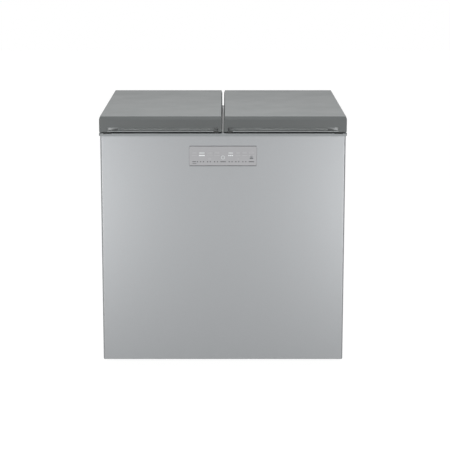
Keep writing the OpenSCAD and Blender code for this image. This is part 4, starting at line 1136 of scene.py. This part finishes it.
@dataclass
class ControlPanel(Assembly):
    """The window over the touch controls, with its light bars and its plain marks.

    Bars and marks are given as the x of their middle and their width.
    """

    front: float = -303.8
    print_t: float = 0.1
    # Dark strips of painted shadow, for the shade in the gaps above and below the window.
    gap_shadows: tuple[Slab, ...] = (
        Slab(Plan(0, 619.8, 90.1, 0.75, 0.6), -303.15, -302.7, 0.1, Along.Y, 1, 3),
        Slab(Plan(0, 566.1, 90.1, 0.65, 0.6), -303.15, -302.7, 0.1, Along.Y, 1, 3))
    bars: tuple[Flat, ...] = ((-77.0, 13.5), (-56.5, 16.0), (-36.0, 17.0), (-16.5, 16.0),
                              (20.8, 13.5), (41.0, 11.0), (58.0, 14.5), (76.4, 15.0))
    # Each row's z, its height and its share of a bar's width.
    rows: tuple[Point, ...] = ((594.3, 2.7, 1.0), (601.2, 3.8, 0.94), (584.8, 3.2, 0.55))
    lit: tuple[int, ...] = (1, 4)
    dotted: int = 4
    marks_z: float = 577.4
    marks: tuple[Flat, ...] = (
        (-77.5, 10.0), (-68.6, 3.0), (-60.2, 3.0), (-52.4, 3.2), (-41.4, 3.4), (-34.0, 3.0),
        (-22.6, 3.4), (-15.0, 3.0), (0.4, 15.0), (16.6, 3.2), (24.4, 3.2), (34.6, 3.4),
        (42.5, 3.0), (53.4, 3.4), (61.3, 3.0), (76.5, 15.0))
    dot: float = 5.0

    def build(self) -> None:
        """Makes the window and everything printed on it."""
        self.soften("display_lens", "control_window", WINDOW, "window", 0.35, 3)
        self.dress(DARK_PLASTIC, "display_housing")
        self.dress(BOARD, "display_board")
        self.keep(self.light_bars("light_bars_lit", self.lit, (0,)).object(LAMP_ON), "window")
        dim = self.light_bars("light_bars_dim", self.lit, (1,))
        self.print_ring(dim, 0.0, 588.9, 3.6, 1.7)
        self.keep(dim.object(LAMP_DIM), "window")
        dark = tuple(at for at in range(len(self.bars)) if at not in self.lit)
        self.keep(self.light_bars("light_bars_unlit", dark, (0, 1, 2)).object(LAMP_OFF), "window")
        marks = Shape("window_marks")
        for x, wide in self.marks:
            self.print_slab(marks, x, self.marks_z, wide, 2.7 if wide < self.dot else 1.9)
        self.print_slab(marks, -76.6, 572.2, 11.0, 1.1)
        self.keep(marks.object(DARK_INK), "window")
        # The lock sign is a flat body with an open shackle over it.
        sign = Shape("lock_sign")
        self.print_slab(sign, 76.6, 586.7, 10.0, 3.6)
        self.print_ring(sign, 76.2, 591.6, 1.5, 1.1)
        self.keep(sign.object(GREY_INK), "window")
        # The dark strips are painted shadow of the gaps round the window.
        self.slabs("window_gaps", GAP_SHADOW, "dark_plastic", self.gap_shadows)

    def print_slab(self, shape: Shape, x: float, z: float, wide: float, tall: float) -> None:
        """Adds one thin printed area on the window's face."""
        shape.slab(Slab(Plan(x, z, wide / 2, tall / 2, min(wide, tall) / 2.2),
                        self.front - self.print_t, self.front + 0.12, 0.03, Along.Y, 1, 3))

    def print_ring(self, shape: Shape, x: float, z: float, hole: float, wide: float) -> None:
        """Adds one thin printed ring on the window's face, round a hole of a radius."""
        near, far = self.front - self.print_t, self.front + self.print_t
        shape.sleeve(Plan(x, z, hole, hole, hole),
                     [(0, near), (wide, near), (wide, far), (0, far)], Along.Y, 8)

    def light_bars(self, name: str, which: Sequence[int], rows: Sequence[int]) -> Shape:
        """Makes some of the light bars.

        Args:
            name: The shape's name.
            which: The bars' numbers, from the left.
            rows: Their rows: 0 is the low one, 1 the tall one and 2 that of the signs.

        Returns:
            The shape. One low bar is dotted, and only every third bar has a sign.
        """
        shape = Shape(name)
        for at in which:
            x, wide = self.bars[at]
            for row in rows:
                z, tall, share = self.rows[row]
                if row == 0 and at == self.dotted:
                    for step in (-1, 0, 1):
                        self.print_slab(shape, x + step * wide / 2.9, z, wide * 0.26, tall + 0.3)
                elif row < 2 or at % 3 == 2:
                    self.print_slab(shape, x, z, wide * share, tall)
        return shape


@dataclass
class Hinges(Assembly):
    """The four rear hinges and their covers."""

    def build(self) -> None:
        """Makes bases and covers, and dresses pins and springs."""
        self.soften("hinge_bases", "hinge_plates", PLAIN_STEEL, "plain_steel", 0.4)
        self.soften("hinge_covers", "hinge_hoods", DECK, "dark_plastic", 2.0, 3)
        self.dress(BRIGHT_STEEL, "hinge_pins", "hinge_springs")


@dataclass
class MachineBay(Assembly):
    """The cold machine behind the rear grille."""

    back_y: float = 277.0
    grille_z: float = 120.6
    columns: int = 6
    column_pitch: float = 88.0
    rows: int = 9
    row_pitch: float = 16.0
    slot: Plan = Plan(0, 0, 36.0, 3.0, 3.0)
    lip_profile: tuple[Flat, ...] = ((0.0, -0.6), (0.0, 0.7), (0.35, 1.0), (0.8, 1.0), (1.5, 0.35),
                                     (2.0, -0.3))
    fin: Plan = Plan(0, 0, 80.0, 79.4, 2.0)
    fin_half: float = 0.12
    fin_rib: Plan = Plan(0, 0, 1.2, 70.0, 1.2)
    fin_rib_half: float = 0.5
    fin_rib_pitch: float = 53.0
    fins: int = 31
    fin_span: float = 119.2
    fin_middle: Point = (152.0, 154.5, 105.6)
    shell: Flat = (-204.5, 154.5)
    shell_r: float = 62.0
    weld_z: float = 112.0
    weld_r: float = 1.9

    def build(self, spread: Repeat, lattice: Repeat) -> None:
        """Makes the grille's lips and the fins, and dresses the machine.

        Args:
            spread: The tree that repeats a piece on points.
            lattice: The tree that repeats a piece on a lattice.
        """
        self.dress(PLAIN_STEEL, "rear_grille")
        self.dress(COMPRESSOR, "compressor")
        self.dress(GASKET, "compressor_grommets")
        self.dress(BRIGHT_STEEL, "compressor_bolts")
        self.dress(DARK_PLASTIC, "relay_cover", "fan_frame", "fan_motor", "fan_rotor")
        self.dress(COPPER, "condenser_tube", "liquid_line", "suction_line", "discharge_line",
                   "filter_drier")
        self.dress(CASE_PLASTIC, "control_box")
        self.dress(BOARD, "control_board")
        self.keep(self.louvres(spread), "plain_steel")
        fin = Shape("fin")
        fin.prism(self.fin.points(steps=2), -self.fin_half, self.fin_half, Along.X)
        for step in (-1, 0, 1):
            plan = self.fin_rib.moved(self.fin_rib_pitch * step)
            fin.prism(plan.points(steps=2), -self.fin_rib_half, self.fin_rib_half, Along.X)
        self.keep(lattice.run("fin_stack", fin, FINS, Columns=self.fins, Width=self.fin_span * MM,
                              Middle=in_metres([self.fin_middle])[0]),
                  "fins", instead="condenser_fins")
        self.keep(self.weld(), "compressor")
        self.soften("cord_gland", "gland", GASKET, "gasket", 0.5)

    def louvres(self, spread: Repeat) -> Object:
        """Makes the raised lips round the grille's slots; the gland stands where one would be.

        Args:
            spread: The tree that repeats a piece on points.

        Returns:
            The lips, as one piece.
        """
        lip = Shape("lip")
        lip.sleeve(self.slot, self.lip_profile, Along.Y, 5)
        places = [((column - (self.columns - 1) / 2) * self.column_pitch, self.back_y,
                   self.grille_z + (row - (self.rows - 1) / 2) * self.row_pitch)
                  for row in range(self.rows) for column in range(self.columns)
                  if (row, column) != (0, self.columns - 1)]
        return spread.run("grille_lips", lip, PLAIN_STEEL, places)

    def weld(self) -> Object:
        """Makes the slightly uneven weld round the compressor's shell.

        Returns:
            The weld.
        """
        bead = Shape("shell_weld")
        rings = []
        for at, (across, along) in enumerate(circle(0, 0, 1, 64)):
            first = len(bead.points)
            for out, high in circle(0, self.weld_z, self.weld_r, 8):
                reach = self.shell_r + out * (1.0 + 0.06 * math.sin(at * 2.4))
                bead.points.append((self.shell[0] + reach * across, self.shell[1] + reach * along,
                                    high))
            rings.append(range(first, len(bead.points)))
        bead.skin(rings, loop=True)
        return bead.object(COMPRESSOR)


@dataclass
class Undercarriage(Assembly):
    """Rear rollers, front feet and what holds them."""

    foot_x: float = 259.5
    foot_y: float = -193.0
    roller_y: float = 232.0
    roller_z: float = 11.0
    # Half of a wheel, from its hub's face to its middle, as radius and distance from the middle.
    wheel: tuple[Flat, ...] = ((0.0, 11.0), (3.4, 11.0), (3.6, 10.4), (7.4, 10.4), (7.7, 10.9),
                               (10.2, 11.0), (10.85, 10.4), (11.0, 9.6), (11.0, 4.4), (10.6, 4.0),
                               (10.6, 3.2), (11.0, 2.8))
    # Radius, height, and whether ribs are cut into the pad's edge there.
    pad: tuple[tuple[float, float, bool], ...] = (
        (0.0, 0.0, False), (18.0, 0.0, False), (19.4, 0.5, False), (20.0, 1.6, True),
        (20.0, 5.4, True), (19.2, 6.6, False), (17.6, 7.0, False), (0.0, 7.0, False))
    rib: float = 0.7
    nut_r: float = 9.0
    stud_top: float = 59.0
    pitch: float = 1.2

    def build(self) -> None:
        """Makes feet and rollers on their own bodies, and the brackets."""
        self.soften("roller_brackets", "roller_forks", PLAIN_STEEL, "plain_steel", 0.35)
        self.dress(BRIGHT_STEEL, "roller_axles", "foot_nuts")
        for side in Side:
            tag, x = side.value, side.sign * self.foot_x
            wheel = Shape(f"wheel_{tag}")
            profile = [(radius, x - off) for radius, off in self.wheel]
            profile += [(radius, x + off) for radius, off in reversed(self.wheel)]
            wheel.turned(self.roller_y, self.roller_z, profile, Along.X, 40)
            self.keep(wheel.object(ROLLER_NYLON), "dark_plastic", f"roller_{tag}", f"roller_{tag}")
            self.keep(self.foot(tag, x), "dark_plastic", f"foot_{tag}", f"foot_{tag}")

    def foot(self, tag: str, x: float) -> Object:
        """Makes one levelling foot: a ribbed pad, a hexagon and a threaded stud.

        Args:
            tag: Its side's name.
            x: Where its axis is.

        Returns:
            The foot.
        """
        foot, y = Shape(f"levelling_foot_{tag}"), self.foot_y
        rings = []
        for radius, z, ribbed in self.pad:
            flat = []
            for at, (across, along) in enumerate(circle(0, 0, 1, 60)):
                reach = max(radius, LEAST) - (self.rib if ribbed and at % 4 < 2 else 0.0)
                flat.append((x + reach * across, y + reach * along))
            rings.append(foot.ring(flat, z))
        foot.skin(rings)
        foot.skin([foot.ring(circle(x, y, self.nut_r * share, 6), z)
                   for share, z in ((1.0, 6.8), (1.0, 12.3), (0.93, 13.0))])
        thread, z = [(0.0, 12.8), (3.6, 12.8)], 13.2
        while z < self.stud_top:
            thread += [(4.0, z), (3.55, z + self.pitch / 2)]
            z += self.pitch
        foot.turned(x, y, thread + [(3.4, 59.6), (2.9, 60.2), (0.0, 60.2)], Along.Z, 24)
        return foot.object(DARK_PLASTIC)


@dataclass
class StorageBoxes(Assembly):
    """The lidded food boxes that stand in the wells."""

    middle: float = 153.5
    pitch: float = 178.0
    floor: float = 85.0
    # Each stack's side, the y of its middle and the levels that hold a box.
    stacks: tuple[tuple[Side, float, tuple[int, ...]], ...] = (
        (Side.LEFT, -133.75, (0, 1, 2)), (Side.LEFT, 103.75, (1, 2)),
        (Side.RIGHT, -133.75, (0, 1)), (Side.RIGHT, 103.75, (1,)))
    valve_profile: tuple[Flat, ...] = (
        (0.0, 174.2), (14.2, 174.2), (14.4, 176.2), (13.8, 176.9), (12.2, 177.0), (11.4, 176.3),
        (6.0, 176.2), (5.4, 177.0), (4.2, 177.4), (0.0, 177.5))
    ridges: int = 4
    ridge_z: float = 159.0
    ridge_pitch: float = 3.2
    latch_face: float = 122.2

    def build(self, spread: Repeat) -> None:
        """Makes the boxes, their lids, valves and latches.

        Args:
            spread: The tree that repeats a piece on points.
        """
        self.soften("storage_boxes", "food_boxes", BOX_BODY, "box_body", 0.9, 2, 40.0)
        self.soften("box_lids", "food_box_lids", BOX_LID, "box_lid", 0.9, 2, 40.0)
        self.soften("box_latches", "food_box_latches", BOX_LATCH, "box_latch", 0.8, 3)
        seats = [(side.sign * self.middle, y, self.floor + self.pitch * level)
                 for side, y, levels in self.stacks for level in levels]
        valve = Shape("valve")
        valve.turned(0, 0, self.valve_profile)
        self.keep(spread.run("box_valves", valve, SILICONE, seats), "box_body")
        ridge = Shape("ridge")
        for row in range(self.ridges):
            for way in (-1, 1):
                face = way * self.latch_face
                plan = Plan(0, self.ridge_z + self.ridge_pitch * row, 20, 0.7, 0.7)
                ridge.slab(Slab(plan, face - 0.3, face + 0.5 * way + 0.3, 0.2, Along.X, 2, 3))
        self.keep(spread.run("latch_ridges", ridge, BOX_LATCH, seats), "box_latch")


# ---------------------------------------------------------------- studio


@dataclass
class Lamp:
    """One soft lamp: where it hangs, where it points, how large and how strong it is."""

    name: str
    place: Point
    target: Point
    width: float
    height: float
    watts: float

    def hang(self) -> None:
        """Adds the lamp to the scene."""
        data = bpy.data.lights.new(self.name, "AREA")
        data.shape = "RECTANGLE"
        data.size = self.width
        data.size_y = self.height
        data.energy = self.watts
        lamp = placed(self.name, data)
        lamp.location = self.place
        lamp.visible_camera = False
        way = Vector(self.target) - Vector(self.place)
        lamp.rotation_euler = way.to_track_quat("-Z", "Y").to_euler()


@dataclass
class Studio:
    """Camera, lamps, white surroundings and the pale floor, in metres."""

    lens: float = 118.66
    sensor: float = 36.0
    place: Point = (0.00546, -4.2352, 1.2433)
    pitch: float = 11.188
    lift: float = -0.05
    far: float = 60.0
    ambient: float = 0.40
    floor_half: float = 9.0
    floor_grey: str = "#8a8a8a"
    floor_glow: float = 1.92
    floor_share: float = 0.25
    lamps: tuple[Lamp, ...] = (
        Lamp("strip_left", (-0.78, -1.45, 0.31), (-0.1, -0.3, 0.36), 0.26, 0.50, 7.9),
        Lamp("strip_right", (0.78, -1.45, 0.31), (0.1, -0.3, 0.36), 0.26, 0.50, 7.9),
        Lamp("top_box", (0.0, -0.31, 1.65), (0.0, -0.28, 0.7), 1.3, 0.45, 15.5))

    def build(self) -> None:
        """Sets the camera, the lamps, the world and the floor."""
        scene = bpy.context.scene
        data = bpy.data.cameras.new("camera")
        data.lens = self.lens
        data.sensor_width = self.sensor
        data.shift_y = self.lift
        data.clip_end = self.far
        camera = placed("camera", data)
        camera.location = self.place
        camera.rotation_euler = (math.radians(90 - self.pitch), 0.0, 0.0)
        scene.camera = camera
        scene.view_settings.view_transform = "Standard"
        for lamp in self.lamps:
            lamp.hang()
        self.surroundings(scene)
        self.floor()

    def seen(self, tree: Tree) -> Socket:
        """Tells what the eye sees from what only lights the surfaces.

        Args:
            tree: The tree that asks.

        Returns:
            1 where a ray comes from the camera, a mirror or glass, and 0 elsewhere.
        """
        path = add_node(tree, "ShaderNodeLightPath").outputs
        first = maths(tree, "MAXIMUM", path["Is Camera Ray"], path["Is Glossy Ray"])
        return maths(tree, "MAXIMUM", first, path["Is Transmission Ray"])

    def surroundings(self, scene: bpy.types.Scene) -> None:
        """Makes the world white to the eye and dimmer as a light.

        Args:
            scene: The scene that it surrounds.
        """
        world = blank(bpy.data.worlds, "white surroundings")
        tree = world.node_tree
        level = add_node(tree, "ShaderNodeMapRange", {
            "Value": self.seen(tree), "To Min": self.ambient, "To Max": 1.0})
        glow = add_node(tree, "ShaderNodeBackground", {
            "Color": (1.0, 1.0, 1.0, 1.0), "Strength": level.outputs[0]})
        add_node(tree, "ShaderNodeOutputWorld", {"Surface": glow.outputs[0]})
        scene.world = world

    def floor(self) -> None:
        """Lays a white floor that keeps a soft shadow, and glows less in mirrors than to the eye."""
        half = self.floor_half * METRE
        shape = Shape("floor")
        shape.faces = [tuple(shape.ring([(-half, -half), (half, -half), (half, half), (-half, half)],
                                        0.0))]
        floor = placed("floor", shape.mesh())
        made = blank(bpy.data.materials, "white studio floor")
        tree = made.node_tree
        paint = add_node(tree, "ShaderNodeBsdfDiffuse", {"Color": from_hex(self.floor_grey)})
        glow = add_node(tree, "ShaderNodeEmission", {"Strength": self.floor_glow})
        straight = maths(tree, "MULTIPLY_ADD",
                         add_node(tree, "ShaderNodeLightPath").outputs["Is Camera Ray"],
                         self.floor_share, self.floor_share)
        share = maths(tree, "MULTIPLY", self.seen(tree), straight)
        mixed = add_node(tree, "ShaderNodeMixShader", {
            0: share, 1: paint.outputs[0], 2: glow.outputs[0]})
        add_node(tree, "ShaderNodeOutputMaterial", {"Surface": mixed.outputs[0]})
        floor.data.materials.append(made)


def main() -> None:
    """Builds the studio and every assembly."""
    logging.basicConfig(level=logging.INFO, format="%(name)s %(message)s")
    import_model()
    Studio().build()
    spread = Repeat("pieces on points", False)
    lattice = Repeat("pieces on a lattice", True)
    Casing().build(spread, lattice)
    Wells().build()
    for side in Side:
        Lid(body=f"lid_{side.value}", side=side).build()
    ControlPanel().build()
    Hinges().build()
    MachineBay().build(spread, lattice)
    Undercarriage().build()
    StorageBoxes().build(spread)


if __name__ == "__main__":
    main()
